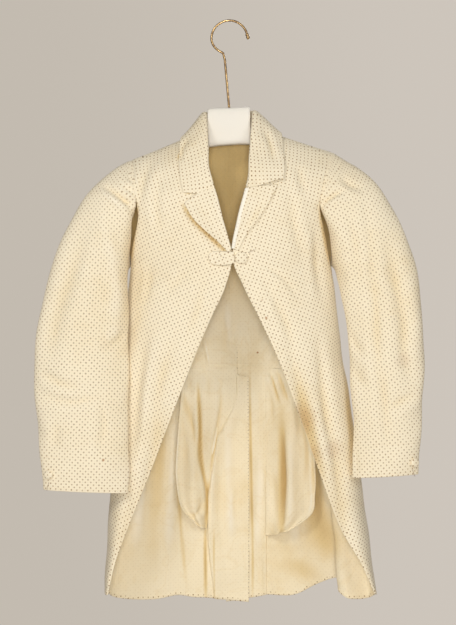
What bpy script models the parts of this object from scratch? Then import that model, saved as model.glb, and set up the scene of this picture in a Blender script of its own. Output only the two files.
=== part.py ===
# Cutaway cotton coat on a plain hanger.
# Metres, +Z up, the front faces -Y. The origin is the underside of the hook's crown, where the hanger hangs.
# The tables give real millimetres. Left and right are the wearer's: the wearer's right is at -X.

import math

import bmesh
import bpy
import numpy as np

MM = 0.001

# Driving dimensions, in millimetres
CLOTH = 2.0  # thickness of every cloth wall
SEAM_GAP = 0.3  # space between two pieces that are sewn together
SHOULDER_GAP = 0.5  # the two shoulders meet at an angle, so each stands back a little more
TURN_GAP = 0.25  # room for two walls to turn where they meet at an angle
ARMHOLE_GAP = 1.4  # from the armhole's edge out to the sleeve, room for the two walls to turn
UNDERARM_GAP = 1.3  # and this much more under the arm, where both walls hang side by side
VENT_LAP = 21.0  # how far each tail passes the middle of the back
VENT_DEPTH = 3.0  # how far each tail moves from the other, in and out
HOOK_RADIUS = 32.8  # to the middle of the wire
HOOK_WIRE = 2.1  # radius of the wire

# Levels count down the fronts and sides: 0 shoulder, 1 underarm, 2 waist, 3 hem.
# Shares count down the back's seams from the armhole: 0 to 0.5 the waist, 1 the hem.
UNDERARM = 1.0
HEM = 3.0
SIDE_BACK_ANGLE = 240.0  # where the side-back seam leaves the armhole
ARMHOLE_ANGLES = (0, 10, 22, 40, 60, 80, 100, 120, 140, 160, 180, 195, 210, 225, 240, 260, 280, 300, 320, 338, 350)
SHOULDER_NECK = 0.3  # where along the back's top row the neck ends and the shoulder seam starts
NECK_TURN = math.radians(68)  # how far the back's half of the neck turns
SKIRT_ROWS = 17
FRONT_COLUMNS = 12
SLEEVE_RINGS = 17
# Where the columns of the other grids lie; the right side has no deep fold, so it needs fewer
SIDE_EXTRA_COLUMNS = {
    "right": (0.12, 0.37, 0.62, 0.87),
    "left": (0.06, 0.14, 0.36, 0.42, 0.46, 0.55, 0.62, 0.68, 0.86),
}
BACK_COLUMN_PLACES = (0, 0.07, 0.14, 0.22, 0.3, 0.42, 0.6, 0.8, 1)
COLLAR_COLUMN_PLACES = (0, 0.18, 0.32, 0.41, 0.46, 0.51, 0.6, 0.72, 0.86, 1)
COLLAR_ROW_PLACES = tuple(np.linspace(0, 1, 33))
BAG_WALL = 3.0  # a pocket bag's two layers, lying together

# Round the armhole, seen from the wearer's side: 0 shoulder tip, 90 front, 180 underarm, 270 back
# columns: angle, x, y, z
ARMHOLE = {
    "right": (
        (0, -178, 6, -252),
        (12, -177, -6, -254.5),
        (40, -173, -34, -280),
        (80, -170, -50, -314),
        (110, -167, -50, -340),
        (135, -170, -34, -372),
        (160, -177, -10, -418),
        (180, -179, 8, -441),
        (205, -176, 34, -428),
        (240, -168, 55, -385),
        (280, -163, 57, -328),
        (320, -170, 42, -280),
        (348, -177, 18, -254.5),
        (360, -178, 6, -252),
    ),
    "left": (
        (0, 185, 6, -237),
        (12, 184, -6, -240),
        (40, 177, -34, -268),
        (80, 168, -52, -308),
        (110, 162, -50, -338),
        (135, 170, -34, -370),
        (160, 180, -10, -420),
        (180, 185, 8, -443),
        (205, 183, 34, -430),
        (240, 173, 55, -385),
        (280, 168, 57, -326),
        (320, 176, 42, -270),
        (348, 184, 18, -240),
        (360, 185, 6, -237),
    ),
}

# The front's own edge: neck, roll line, closure, then the cutaway line to the hem
# columns: level, x, y, z
FRONT_EDGE = {
    "right": (
        (0.00, -52, 2, -201),
        (0.05, -50.5, -7, -203),
        (0.12, -47, -19, -211),
        (0.25, -43, -40, -234),
        (0.50, -39, -62, -287),
        (0.62, -30, -70, -312),
        (0.80, -14, -77, -362),
        (1.00, 3, -80, -432),
        (1.20, -7, -80, -480),
        (1.50, -36, -78, -545),
        (2.00, -77, -73, -645),
        (2.25, -106, -68, -720),
        (2.50, -142, -62, -815),
        (2.75, -184, -57, -920),
        (2.90, -207, -53, -985),
        (3.00, -218, -49, -1035),
    ),
    "left": (
        (0.00, 54, 2, -197),
        (0.05, 52, -7, -199),
        (0.12, 47, -19, -207),
        (0.25, 42, -40, -232),
        (0.50, 36, -64, -285),
        (0.62, 29, -72, -312),
        (0.80, 15, -77, -362),
        (1.00, 6, -80, -432),
        (1.20, 24, -80, -480),
        (1.50, 56, -78, -545),
        (2.00, 100, -75, -645),
        (2.25, 127, -72, -720),
        (2.50, 161, -68, -815),
        (2.75, 202, -66, -921),
        (2.90, 237, -64, -981),
        (3.00, 259, -56, -1030),
    ),
}

# The seam down the side, from the underarm to the hem
# columns: level, x, y, z
SIDE_SEAM = {
    "right": (
        (1.00, -179, 8, -441),
        (1.20, -184, 10, -485),
        (1.50, -190, 12, -550),
        (2.00, -199, 14, -645),
        (2.25, -205, 14, -720),
        (2.50, -214, 14, -815),
        (2.75, -221, 12, -920),
        (3.00, -226, 8, -1038),
    ),
    "left": (
        (1.00, 185, 8, -443),
        (1.20, 190, 10, -485),
        (1.50, 198, 12, -550),
        (2.00, 211, 14, -645),
        (2.25, 224, 14, -720),
        (2.50, 236, 10, -815),
        (2.75, 251, 2, -920),
        (3.00, 265, -10, -1040),
    ),
}

# The side-back seam, from the armhole in to the waist, then down the skirt
# columns: share, x, y, z
SIDE_BACK = {
    "right": (
        (0.00, -168, 55, -385),
        (0.12, -132, 67, -428),
        (0.25, -94, 75, -495),
        (0.38, -64, 78, -560),
        (0.50, -43, 79, -636),
        (0.62, -40, 80, -730),
        (0.80, -40, 84, -890),
        (1.00, -40, 88, -1062),
    ),
    "left": (
        (0.00, 173, 55, -385),
        (0.12, 144, 67, -428),
        (0.25, 114, 75, -495),
        (0.38, 90, 78, -560),
        (0.50, 72, 79, -636),
        (0.62, 70, 80, -730),
        (0.80, 70, 84, -890),
        (1.00, 70, 88, -1056),
    ),
}

# How the side's hem falls, from the side seam in to the side-back seam; the left one has a deep fold
# columns: across, x, y, z
SIDE_HEM = {
    "right": (
        (0.00, -226, 8, -1038),
        (0.12, -215, 30, -1050),
        (0.32, -180, 50, -1059),
        (0.52, -135, 66, -1061),
        (0.70, -96, 80, -1056),
        (0.85, -66, 86, -1061),
        (1.00, -40, 88, -1062),
    ),
    "left": (
        (0.00, 265, -10, -1040),
        (0.09, 256, 6, -1048),
        (0.22, 232, 4, -1051),
        (0.36, 209, 0, -1046),
        (0.44, 199, 11, -1036),
        (0.52, 210, 32, -1029),
        (0.60, 214, 54, -1024),
        (0.70, 196, 75, -1023),
        (0.80, 163, 85, -1036),
        (0.90, 120, 89, -1057),
        (1.00, 70, 88, -1056),
    ),
}

# The middle of the back, and the line down each back panel from the end of the neck
# columns: share, x, y, z; the upper tables run from the neck to the top of the side-back seam
CENTRE_BACK_UPPER = (
    (0.0, 0, 44, -198),
    (0.3, 0, 56, -240),
    (0.6, 1, 64, -300),
    (1.0, 2, 71, -385),
)
CENTRE_BACK_LOWER = (
    (0.00, 2, 71, -385),
    (0.12, 4, 74, -430),
    (0.25, 8, 77, -500),
    (0.50, 15, 80, -640),
    (0.62, 15, 82, -735),
    (0.80, 15, 86, -895),
    (1.00, 15, 90, -1070),
)
SHOULDER_BLADE_UPPER = {
    "right": (
        (0.0, -52, 2, -201),
        (0.08, -52.5, 12, -203.5),
        (0.2, -54, 28, -214),
        (0.5, -56, 50, -255),
        (0.75, -58, 63, -312),
        (1.0, -59, 70, -385),
    ),
    "left": (
        (0.0, 54, 2, -197),
        (0.08, 54.5, 12, -199.5),
        (0.2, 56, 28, -211),
        (0.5, 58, 50, -253),
        (0.75, 60, 63, -311),
        (1.0, 61, 70, -385),
    ),
}

# The sleeves are flattened tubes. Each ring runs from the outer edge to the inner edge.
# columns: share, outer x, outer z, inner x, inner z, middle y, half depth
SLEEVE = {
    "right": (
        (0.00, -178, -252, -178, -441, 3, 53),
        (0.06, -203, -267, -184, -452, -9, 47),
        (0.12, -232, -290, -185, -468, -18, 41),
        (0.19, -260, -321, -184, -488, -25, 36),
        (0.26, -284, -363, -182.5, -514, -30, 33),
        (0.34, -304, -404, -182, -542, -34, 31),
        (0.42, -320, -450, -182, -575, -37, 30),
        (0.51, -334, -508, -182, -616, -41, 29),
        (0.60, -346, -567, -182, -658, -46, 28),
        (0.68, -350, -622, -181.5, -694, -51, 27),
        (0.76, -348, -668, -181, -730, -55, 25),
        (0.84, -343, -718, -181, -764, -59, 23),
        (0.92, -338, -778, -179, -806, -62, 21),
        (1.00, -332, -845, -181, -851, -64, 19),
    ),
    "left": (
        (0.00, 185, -237, 184, -443, 3, 53),
        (0.06, 209, -253, 191, -452, -9, 47),
        (0.12, 234, -269, 195, -466, -18, 41),
        (0.19, 264, -298, 200, -485, -24, 36),
        (0.26, 290, -336, 204, -508, -28, 33),
        (0.34, 312, -378, 209, -538, -31, 31),
        (0.42, 328, -421, 213, -567, -34, 30),
        (0.51, 340, -478, 216, -608, -38, 29),
        (0.60, 346, -540, 218, -648, -43, 28),
        (0.68, 348, -600, 220, -684, -47, 27),
        (0.76, 347, -650, 221.5, -718, -50, 25),
        (0.84, 344, -706, 222, -752, -53, 23),
        (0.92, 341, -768, 220.5, -790, -56, 21),
        (1.00, 337, -818, 219, -824, -58, 19),
    ),
}

# The collar runs from the wearer's right notch, round the neck, to the left one.
# columns: station, neck seam x, y, z, fold x, y, z, outer edge x, y, z
COLLAR = (
    (0.00, -24.5, -71.5, -316, -27, -75, -318, -80, -72, -322),
    (0.05, -33, -68.5, -296, -36, -72.5, -298, -84, -69, -308),
    (0.12, -37.5, -59, -266, -38.5, -66, -270, -88, -62, -286),
    (0.20, -41.0, -38, -229, -39.3, -53, -235, -90, -51, -262),
    (0.28, -45.5, -16.5, -207, -40.5, -36, -202, -90, -36, -235),
    (0.36, -49.8, 1.5, -197.5, -43, -6, -168, -86, -8, -210),
    (0.42, -46.5, 20.0, -195.5, -42, 16, -163, -77, 22, -213),
    (0.46, -28.0, 36.8, -194.5, -26, 35, -162, -48, 50, -218),
    (0.50, 0.0, 43.0, -194.0, 0, 42, -161, 0, 63, -221),
    (0.54, 28.0, 36.8, -193.5, 26, 35, -160, 50, 50, -216),
    (0.58, 47.0, 20.0, -193, 42, 16, -161, 84, 22, -207),
    (0.64, 51.3, 1.5, -194, 43, -6, -165, 93, -8, -203),
    (0.72, 46.0, -16.5, -204, 39.8, -36, -200, 96, -37, -234),
    (0.80, 40.0, -38, -228, 37.8, -54, -236, 98, -57, -266),
    (0.88, 35.5, -58, -264, 36, -68, -268, 96, -66, -288),
    (0.95, 29.5, -69, -292, 32, -74, -295, 92, -71, -303),
    (1.00, 24, -73, -310, 27, -76.5, -312, 86, -74, -317),
)
COLLAR_FOLD = 0.46  # where across the collar it folds
FOLD_ROUNDNESS = 1.5  # how far the fold swings out, for the stand's height
FOLD_LIMIT = 32.0  # the fold grows no wider than it is for this much stand
# Where each end of the collar is cut, from the neck seam out to the outer edge
# columns: across, station
COLLAR_ENDS = {
    "right": ((0.0, 0.05), (0.46, 0.048), (0.70, 0.008), (1.0, 0.042)),
    "left": ((0.0, 0.94), (0.46, 0.94), (0.69, 0.965), (1.0, 0.89)),
}

# The lapels lie on the fronts, from the fold out to their free edge
# columns: share down, level at the fold, level half way, level at the edge, reach across the front, lift
LAPEL = {
    "right": (
        (0.00, 0.600, 0.655, 0.690, 0.250, 2.5),
        (0.30, 0.700, 0.735, 0.765, 0.205, 3.0),
        (0.60, 0.810, 0.830, 0.850, 0.140, 3.0),
        (0.85, 0.915, 0.920, 0.925, 0.070, 1.5),
        (1.00, 0.965, 0.965, 0.965, 0.035, 0.5),
    ),
    "left": (
        (0.00, 0.600, 0.640, 0.670, 0.310, 1.5),
        (0.30, 0.700, 0.730, 0.755, 0.250, 1.5),
        (0.60, 0.810, 0.825, 0.840, 0.160, 1.5),
        (0.85, 0.910, 0.911, 0.912, 0.075, 1.0),
        (1.00, 0.950, 0.950, 0.950, 0.040, 0.5),
    ),
}
LAPEL_FOLD_LIFT = 2.4  # from the middle of the front's wall to the middle of the lapel's, at the fold
LAPEL_LIFT = 3.4  # and further out

# The pocket bags hang inside from the waist, whose own depth the first row takes
# columns: share down, outer x, y, z, inner x, y, z
POCKET_BAG = {
    "right": (
        (0.00, -86, 62, -641, 14, 66, -641),
        (0.20, -88, 62, -690, 13, 66, -700),
        (0.45, -93, 61, -765, -7, 66, -790),
        (0.70, -98, 60, -842, -16, 66, -860),
        (0.86, -88, 62, -893, -18, 66, -908),
        (1.00, -60, 64, -927, -25, 66, -940),
    ),
    "left": (
        (0.00, 128, 55, -646, 50, 66, -642),
        (0.20, 148, 53, -705, 58, 66, -705),
        (0.45, 155, 51, -775, 66, 66, -780),
        (0.70, 157, 51, -862, 65, 66, -850),
        (0.86, 151, 54, -903, 63, 66, -900),
        (1.00, 108, 58, -936, 61, 66, -938),
    ),
}
BAG_FOLDS = {"right": (2.0, 5.0), "left": (1.5, 5.0)}  # folds across each bag, and their depth

# The hanger, from the wearer's right arm to the left one
# columns: x, top z, bottom z, middle y, half depth, squareness
HANGER = (
    (-168, -249.8, -268, 6, 10, 1.0),
    (-150, -242.4, -266, 5, 12, 1.0),
    (-100, -222.2, -247, 3, 12, 1.0),
    (-56, -204.9, -232, 2, 11, 1.0),
    (-40.4, -199.6, -229.6, 1, 12, 0.7),
    (-39.7, -161.0, -229.4, 0, 12, 0.4),
    (-37.5, -158.9, -229.0, 0, 13, 0.4),
    (-20, -158.0, -226.5, 0, 13, 0.4),
    (0, -157.2, -225.0, 0, 13, 0.4),
    (18, -156.2, -224.0, 0, 13, 0.4),
    (35, -155.2, -224.2, 0, 13, 0.4),
    (37.2, -157.5, -224.6, 0, 12, 0.4),
    (38.0, -194.0, -225.5, 1, 12, 0.7),
    (58, -200.6, -228, 2, 11, 1.0),
    (100, -213.7, -238, 3, 12, 1.0),
    (155, -229.8, -254, 5, 12, 1.0),
    (174, -235.6, -254, 6, 10, 1.0),
)
HANGER_SIDES = 16

# The hook's wire: an open ring with a small ball at its free end, then a straight shank
RING_CENTRE_Z = -30.8
RING_FROM = 16.0  # degrees, the free end
RING_TO = 246.0  # where the wire bends down
RING_INWARD = 4.0  # how much nearer the centre the ring ends than it starts
SHANK_TOP = (-8.5, -69)
SHANK_FOOT = (-0.6, -156.8)
BALL_RADIUS = 4.0
BALL = ((2.2, 0.45), (1.9, 0.85), (1.2, 1.0), (0.5, 0.8))  # ahead of the wire's end, thickness; in ball radii
WIRE_SIDES = 8

# A covered button's profile, in shares of its radius and its thickness
BUTTON_PROFILE = ((0.55, 0.0), (0.92, 0.1), (1.0, 0.35), (0.9, 0.7), (0.6, 0.94), (0.25, 1.0))
BUTTON_SIDES = 14
# Buttons: centre x, z on the panel they are sewn to, and their size
# columns: x, z, radius across, radius up, thickness
CLOSURE_BUTTON = (21.0, -432.5, 12.0, 10.8, 5.0)
CUFF_BUTTONS = {"right": (-321.0, -818.0, 8.5, 8.0, 5.0), "left": (329.0, -797.0, 8.5, 8.0, 5.0)}

# The closure's tab, from its rounded end on the right front to its end at the button
# columns: share, x, z, half height, distance from the front
TAB = (
    (0.00, -36.5, -431, 3.0, 2.4),
    (0.12, -33.0, -432, 8.5, 2.4),
    (0.35, -24.0, -433, 11.2, 2.5),
    (0.65, -10.0, -433.5, 11.2, 3.2),
    (1.00, 7.5, -432.5, 9.5, 4.2),
)
TAB_EDGE_X = 0.0  # past this the front turns away, and the tab goes straight on


def through(knots, values, at):
    """A smooth curve through values at the knots, read at each place in `at`."""
    knots, values, at = (np.asarray(a, float) for a in (knots, values, at))
    step = np.diff(knots)
    rise = np.diff(values, axis=0) / step[:, None]
    slope = np.empty_like(values)
    weight = (step[1:] + step[:-1])[:, None]
    slope[1:-1] = (rise[:-1] * step[1:, None] + rise[1:] * step[:-1, None]) / weight
    slope[0], slope[-1] = rise[0], rise[-1]
    i = np.clip(np.searchsorted(knots, at, side="right") - 1, 0, len(step) - 1)
    h = step[i][..., None]
    t = ((at - knots[i]) / step[i])[..., None]
    near = values[i] * (1 + 2 * t) * (1 - t) ** 2 + slope[i] * h * t * (1 - t) ** 2
    far = values[i + 1] * t * t * (3 - 2 * t) + slope[i + 1] * h * t * t * (t - 1)
    return near + far


def along(table, at):
    """The other columns of a table, read smoothly at places in its first column."""
    rows = np.array(table, float)
    return through(rows[:, 0], rows[:, 1:], at)


def ease(low, high, at):
    """0 up to low, 1 from high on, and a smooth step between them."""
    t = np.clip((np.asarray(at, float) - low) / (high - low), 0, 1)
    return t * t * (3 - 2 * t)


def between(start, end, share):
    return start + (end - start) * np.asarray(share, float)[..., None]


def front_point(side, across, level):
    """A front: each level is a row from the front's edge, across 0, to the armhole or side seam, across 1.

    Rows are straight at the shoulder and turn into a quarter of an oval by the underarm.
    """
    across, level = np.broadcast_arrays(np.asarray(across, float), np.asarray(level, float))
    inner = along(FRONT_EDGE[side], level)
    above = along(ARMHOLE[side], 180 * np.minimum(level, UNDERARM))
    below = along(SIDE_SEAM[side], np.maximum(level, UNDERARM))
    outer = np.where((level < UNDERARM)[..., None], above, below)
    turn = across * math.pi / 2
    roundness = ease(0.0, 0.9, level)
    sideways = (1 - roundness) * across + roundness * np.sin(turn) ** 0.9
    forward = (1 - roundness) * (1 - across) + roundness * np.cos(turn) ** 0.9
    shares = np.stack([sideways, 1 - forward, across], axis=-1)
    return inner + (outer - inner) * shares


def side_point(side, across, level):
    """A side: a quarter of an oval from the side seam, across 0, to the side-back seam, across 1."""
    across, level = np.broadcast_arrays(np.asarray(across, float), np.asarray(level, float))

    def oval(where, at):
        seam = along(SIDE_SEAM[side], at)
        back = along(SIDE_BACK[side], (at - UNDERARM) / (HEM - UNDERARM))
        turn = where * math.pi / 2
        shares = np.stack([1 - np.cos(turn), np.sin(turn), where], axis=-1)
        return seam + (back - seam) * shares

    top = along(ARMHOLE[side], 180 + (SIDE_BACK_ANGLE - 180) * across)
    hem = along(SIDE_HEM[side], across)
    to_top = (1 - ease(1.0, 1.35, level))[..., None]
    to_hem = ease(2.0, 3.0, level)[..., None]
    shape = oval(across, level)
    shape = shape + (top - oval(across, np.full_like(level, UNDERARM))) * to_top
    return shape + (hem - oval(across, np.full_like(level, HEM))) * to_hem


def back_top(side, across):
    """The back's top row: round the neck from the middle, then along the shoulder seam."""
    neck_end = np.array(SHOULDER_BLADE_UPPER[side][0][1:], float)
    tip = np.array(ARMHOLE[side][0][1:], float)
    middle = np.array(CENTRE_BACK_UPPER[0][1:], float)
    share = np.clip(across / SHOULDER_NECK, 0, 1)
    turn = share * NECK_TURN
    shares = np.stack([np.sin(turn) / math.sin(NECK_TURN), (1 - np.cos(turn)) / (1 - math.cos(NECK_TURN)), share], -1)
    neck = middle + (neck_end - middle) * shares
    shoulder = between(neck_end, tip, (across - SHOULDER_NECK) / (1 - SHOULDER_NECK))
    return np.where((across < SHOULDER_NECK)[..., None], neck, shoulder)


def straight_back(middle, outer, across):
    """A row of the back: even steps across and down, level at the middle and at the outer seam."""
    turned = np.sin(across * math.pi / 2) ** 2
    return middle + (outer - middle) * np.stack([across, turned, across], axis=-1)


def back_point(side, across, down):
    """A back: from its middle, across 0, to the armhole or side-back seam, across 1.

    down runs from -1 at the neck and shoulder, 0 at the top of the side-back seam, to 1 at the hem.
    """
    across, down = np.broadcast_arrays(np.asarray(across, float), np.asarray(down, float))
    upper, lower = np.clip(down + 1, 0, 1), np.clip(down, 0, 1)
    above = down < 0

    def guide(high, low):
        return np.where(above[..., None], high, low)

    middle = guide(along(CENTRE_BACK_UPPER, upper), along(CENTRE_BACK_LOWER, lower))
    angle = 360 - (360 - SIDE_BACK_ANGLE) * upper
    outer = guide(along(ARMHOLE[side], angle), along(SIDE_BACK[side], lower))
    blade_start = np.array(SHOULDER_BLADE_UPPER[side][-1][1:], float)
    straight_start = straight_back(
        np.array(CENTRE_BACK_LOWER[0][1:], float), np.array(SIDE_BACK[side][0][1:], float), np.array(SHOULDER_NECK)
    )
    swell_low = (blade_start - straight_start) * (1 - ease(0.0, 0.5, lower))[..., None]
    neck_share = np.full(across.shape, SHOULDER_NECK)
    swell_high = along(SHOULDER_BLADE_UPPER[side], upper) - straight_back(middle, outer, neck_share)
    swell = guide(swell_high, swell_low)
    to_blade = np.sin(across / SHOULDER_NECK * math.pi / 2)
    past_blade = np.cos((across - SHOULDER_NECK) / (1 - SHOULDER_NECK) * math.pi / 2)
    hump = np.where(across < SHOULDER_NECK, to_blade, past_blade)[..., None] ** 2
    row = straight_back(middle, outer, across) + swell * hump
    neck_middle = np.array(CENTRE_BACK_UPPER[0][1:], float)
    tip = np.array(ARMHOLE[side][0][1:], float)
    top_swell = np.array(SHOULDER_BLADE_UPPER[side][0][1:], float) - straight_back(
        neck_middle, tip, np.array(SHOULDER_NECK)
    )
    plain_top = straight_back(neck_middle, tip, across) + top_swell * hump
    row = row + (back_top(side, across) - plain_top) * (1 - ease(0.0, 0.45, upper))[..., None]
    # below the waist the two tails pass each other
    lap = VENT_LAP * ease(0.5, 0.57, lower) * (1 - across) ** 2
    depth = VENT_DEPTH * ease(0.42, 0.5, lower) * (1 - across) ** 2
    toward_left, inward = (1, -1) if side == "right" else (-1, 1)
    row[..., 0] += toward_left * lap
    row[..., 1] += inward * depth
    return row


def sleeve_point(side, angle, share):
    """A sleeve: rings from the armhole, share 0, to the cuff, share 1.

    angle 0 is the outer edge, 90 the front, 180 the inner edge, 270 the back.
    """
    angle, share = np.broadcast_arrays(np.asarray(angle, float), np.asarray(share, float))

    def flat_tube(at):
        outer_x, outer_z, inner_x, inner_z, middle_y, half_depth = np.moveaxis(along(SLEEVE[side], at), -1, 0)
        turn = np.radians(angle)
        outward, forward = np.cos(turn), np.sin(turn)
        y = middle_y - half_depth * forward * np.abs(forward) ** 0.25
        x = (outer_x + inner_x) / 2 + (outer_x - inner_x) / 2 * outward
        z = (outer_z + inner_z) / 2 + (outer_z - inner_z) / 2 * outward
        return np.stack([x, y, z], axis=-1)

    outward = -1 if side == "right" else 1
    gap = ARMHOLE_GAP + UNDERARM_GAP * ease(80, 140, angle) * (1 - ease(220, 260, angle))
    seam = along(ARMHOLE[side], angle)
    seam[..., 0] += outward * gap
    near_seam = (1 - ease(0.0, 0.2, share))[..., None]
    return flat_tube(share) + (seam - flat_tube(np.zeros_like(share))) * near_seam


def collar_point(across, station):
    """The collar: up from the neck seam, over the fold and down to its outer edge."""
    across, station = np.broadcast_arrays(np.asarray(across, float), np.asarray(station, float))
    neck, fold, edge = np.split(along(COLLAR, station), 3, axis=-1)
    t = across[..., None]
    first, second = COLLAR_FOLD, 1 - COLLAR_FOLD
    up, down = (fold - neck) / first, (edge - fold) / second
    turning = unit(unit(up) + unit(down))
    speed = FOLD_ROUNDNESS * np.minimum(np.linalg.norm(up, axis=-1), FOLD_LIMIT)[..., None]
    at_fold = turning * speed
    a, b = t / first, (t - first) / second
    rising = (
        neck * (1 + 2 * a) * (1 - a) ** 2
        + up * first * a * (1 - a) ** 2
        + fold * a * a * (3 - 2 * a)
        + at_fold * first * a * a * (a - 1)
    )
    falling = (
        fold * (1 + 2 * b) * (1 - b) ** 2
        + at_fold * second * b * (1 - b) ** 2
        + edge * b * b * (3 - 2 * b)
        + down * second * b * b * (b - 1)
    )
    return np.where((across < COLLAR_FOLD)[..., None], rising, falling)


def unit(vectors):
    return vectors / np.linalg.norm(vectors, axis=-1, keepdims=True)


def normals(points, round_tube=False):
    """The surface's direction at each point of a grid, from its neighbours."""
    if round_tube:
        across = np.roll(points, -1, axis=1) - np.roll(points, 1, axis=1)
    else:
        across = np.gradient(points, axis=1, edge_order=2)
    return unit(np.cross(np.gradient(points, axis=0, edge_order=2), across))


def moved_out(function, side, across, level, distance):
    """Points of a panel, moved out along its direction by a distance."""
    step = 0.004
    point = function(side, across, level)
    along_row = function(side, across + step, level) - function(side, np.maximum(across - step, 0), level)
    along_column = function(side, across, level + step) - function(side, across, level - step)
    direction = unit(np.cross(along_column, along_row))
    direction *= -np.sign(direction[..., 1:2])
    return point + direction * np.asarray(distance)[..., None]


def lapel_point(side, across, share):
    """A lapel: made from the front's points, moved out, from the fold to the free edge."""
    across, share = np.broadcast_arrays(np.asarray(across, float), np.asarray(share, float))
    at_fold, half_way, at_edge, reach, lift = np.moveaxis(along(LAPEL[side], share), -1, 0)
    level = (
        at_fold * (1 - across) * (1 - 2 * across)
        + half_way * 4 * across * (1 - across)
        + at_edge * across * (2 * across - 1)
    )
    distance = LAPEL_FOLD_LIFT + (LAPEL_LIFT - LAPEL_FOLD_LIFT) * ease(0.0, 0.3, across) + lift * across**2
    return moved_out(front_point, side, reach * across, level, distance)


def place_on(function, side, x, z, first, second):
    """The two parameters of a panel's point that shows a given x and z, found from a start by Newton's steps."""
    step = 0.001
    for _ in range(60):
        here = function(side, first, second)
        by_first = (function(side, first + step, second) - here) / step
        by_second = (function(side, first, second + step) - here) / step
        miss_x, miss_z = x - here[..., 0], z - here[..., 2]
        scale = by_first[..., 0] * by_second[..., 2] - by_first[..., 2] * by_second[..., 0]
        first = first + 0.5 * (miss_x * by_second[..., 2] - miss_z * by_second[..., 0]) / scale
        second = second + 0.5 * (miss_z * by_first[..., 0] - miss_x * by_first[..., 2]) / scale
    return first, second


def stand_back(points, first_row=0.0, last_row=0.0, first_column=0.0, last_column=0.0):
    """Pull a grid's four edges in by these distances, one for the edge or one for each of its points."""
    points = points.copy()
    for axis, first, last in ((0, first_row, last_row), (1, first_column, last_column)):
        grid = np.moveaxis(points, axis, 0)
        grid[0] = grid[0] + unit(grid[1] - grid[0]) * np.asarray(first)[..., None]
        grid[-1] = grid[-1] + unit(grid[-2] - grid[-1]) * np.asarray(last)[..., None]
    return points


def side_seam_gap(level):
    """Each piece's share of the gap: the two walls meet at more of an angle towards the hem."""
    return SEAM_GAP / 2 + TURN_GAP * ease(1.6, 2.4, level)


def side_back_gap(share):
    """Each piece's share of the gap: the two walls meet at a sharp angle where the seam leaves the armhole."""
    return SEAM_GAP / 2 + 3 * TURN_GAP * (1 - ease(0.0, 0.2, share))


def add_mesh(name, vertices, faces, material):
    mesh = bpy.data.meshes.new(name)
    mesh.from_pydata([tuple(v) for v in np.asarray(vertices) * MM], [], faces)
    solid = bmesh.new()
    solid.from_mesh(mesh)
    bmesh.ops.recalc_face_normals(solid, faces=solid.faces)
    solid.to_mesh(mesh)
    solid.free()
    mesh.materials.append(material)
    mesh.shade_smooth()
    mesh.set_sharp_from_angle(angle=math.radians(40))
    item = bpy.data.objects.new(name, mesh)
    bpy.context.scene.collection.objects.link(item)
    return item


def wall(name, points, material, thickness=CLOTH, tube=False):
    """A closed wall round a grid of points: half its thickness to each side, joined all round its edge."""
    rows, columns = points.shape[:2]
    direction = normals(points, tube)
    outer = points + direction * thickness / 2
    inner = points - direction * thickness / 2
    count = rows * columns
    index = np.arange(count).reshape(rows, columns)
    if tube:
        index = np.concatenate([index, index[:, :1]], axis=1)
    a, b, c, d = (i.ravel() for i in (index[:-1, :-1], index[:-1, 1:], index[1:, 1:], index[1:, :-1]))
    # both faces of the wall are cut along the same diagonals, so a twisted quad keeps its thickness
    top = np.concatenate([np.stack([a, b, c], axis=-1), np.stack([a, c, d], axis=-1)])
    bottom = top[:, ::-1] + count
    if tube:
        edges = [index[0], index[-1]]
    else:
        edges = [np.concatenate([index[0], index[1:, -1], index[-1, -2::-1], index[-2::-1, 0]])]
    sides = [np.stack([e[:-1], e[1:], e[1:] + count, e[:-1] + count], axis=-1) for e in edges]
    faces = np.concatenate([top, bottom]).tolist() + np.concatenate(sides).tolist()
    return add_mesh(name, np.concatenate([outer.reshape(-1, 3), inner.reshape(-1, 3)]), faces, material)


def loft(name, rings, material):
    """A closed solid through rings of points, with a flat end on each side."""
    count, sides = rings.shape[:2]
    index = np.arange(count * sides).reshape(count, sides)
    index = np.concatenate([index, index[:, :1]], axis=1)
    corners = (index[:-1, :-1], index[:-1, 1:], index[1:, 1:], index[1:, :-1])
    faces = np.stack([c.ravel() for c in corners], axis=-1).tolist()
    faces += [index[0, :-1].tolist(), index[-1, :-1].tolist()]
    return add_mesh(name, rings.reshape(-1, 3), faces, material)


def make_front(side, material):
    levels = np.concatenate([np.array(ARMHOLE_ANGLES[:10]) / 180, np.linspace(UNDERARM, HEM, SKIRT_ROWS)])
    across, level = np.meshgrid(np.linspace(0, 1, FRONT_COLUMNS), levels)
    points = front_point(side, across, level)
    points = stand_back(points, first_row=SHOULDER_GAP, last_column=side_seam_gap(levels))
    wall(f"front_{side}", points, material)


def make_side(side, material):
    round_armhole = np.array([a for a in ARMHOLE_ANGLES if 180 <= a <= SIDE_BACK_ANGLE])
    corners = (round_armhole - 180) / (SIDE_BACK_ANGLE - 180)
    columns = np.unique(np.concatenate([corners, SIDE_EXTRA_COLUMNS[side]]))
    levels = np.linspace(UNDERARM, HEM, SKIRT_ROWS)
    across, level = np.meshgrid(columns, levels)
    share = (levels - UNDERARM) / (HEM - UNDERARM)
    points = side_point(side, across, level)
    points = stand_back(points, SEAM_GAP, 0.0, side_seam_gap(levels), side_back_gap(share))
    wall(f"side_{side}", points, material)


def make_back(side, material):
    angles = np.array((360, *ARMHOLE_ANGLES[:-7:-1]))
    upper = (360 - angles) / (360 - SIDE_BACK_ANGLE) - 1
    down = np.concatenate([upper, np.linspace(0, 1, SKIRT_ROWS)])
    places, rows = np.meshgrid(BACK_COLUMN_PLACES, down)
    points = back_point(side, places, rows)
    outer_gap = np.where(down < 0, SEAM_GAP, side_back_gap(np.maximum(down, 0)))
    points = stand_back(points, SHOULDER_GAP, 0.0, SEAM_GAP / 2, outer_gap)
    wall(f"back_{side}", points, material)


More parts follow.
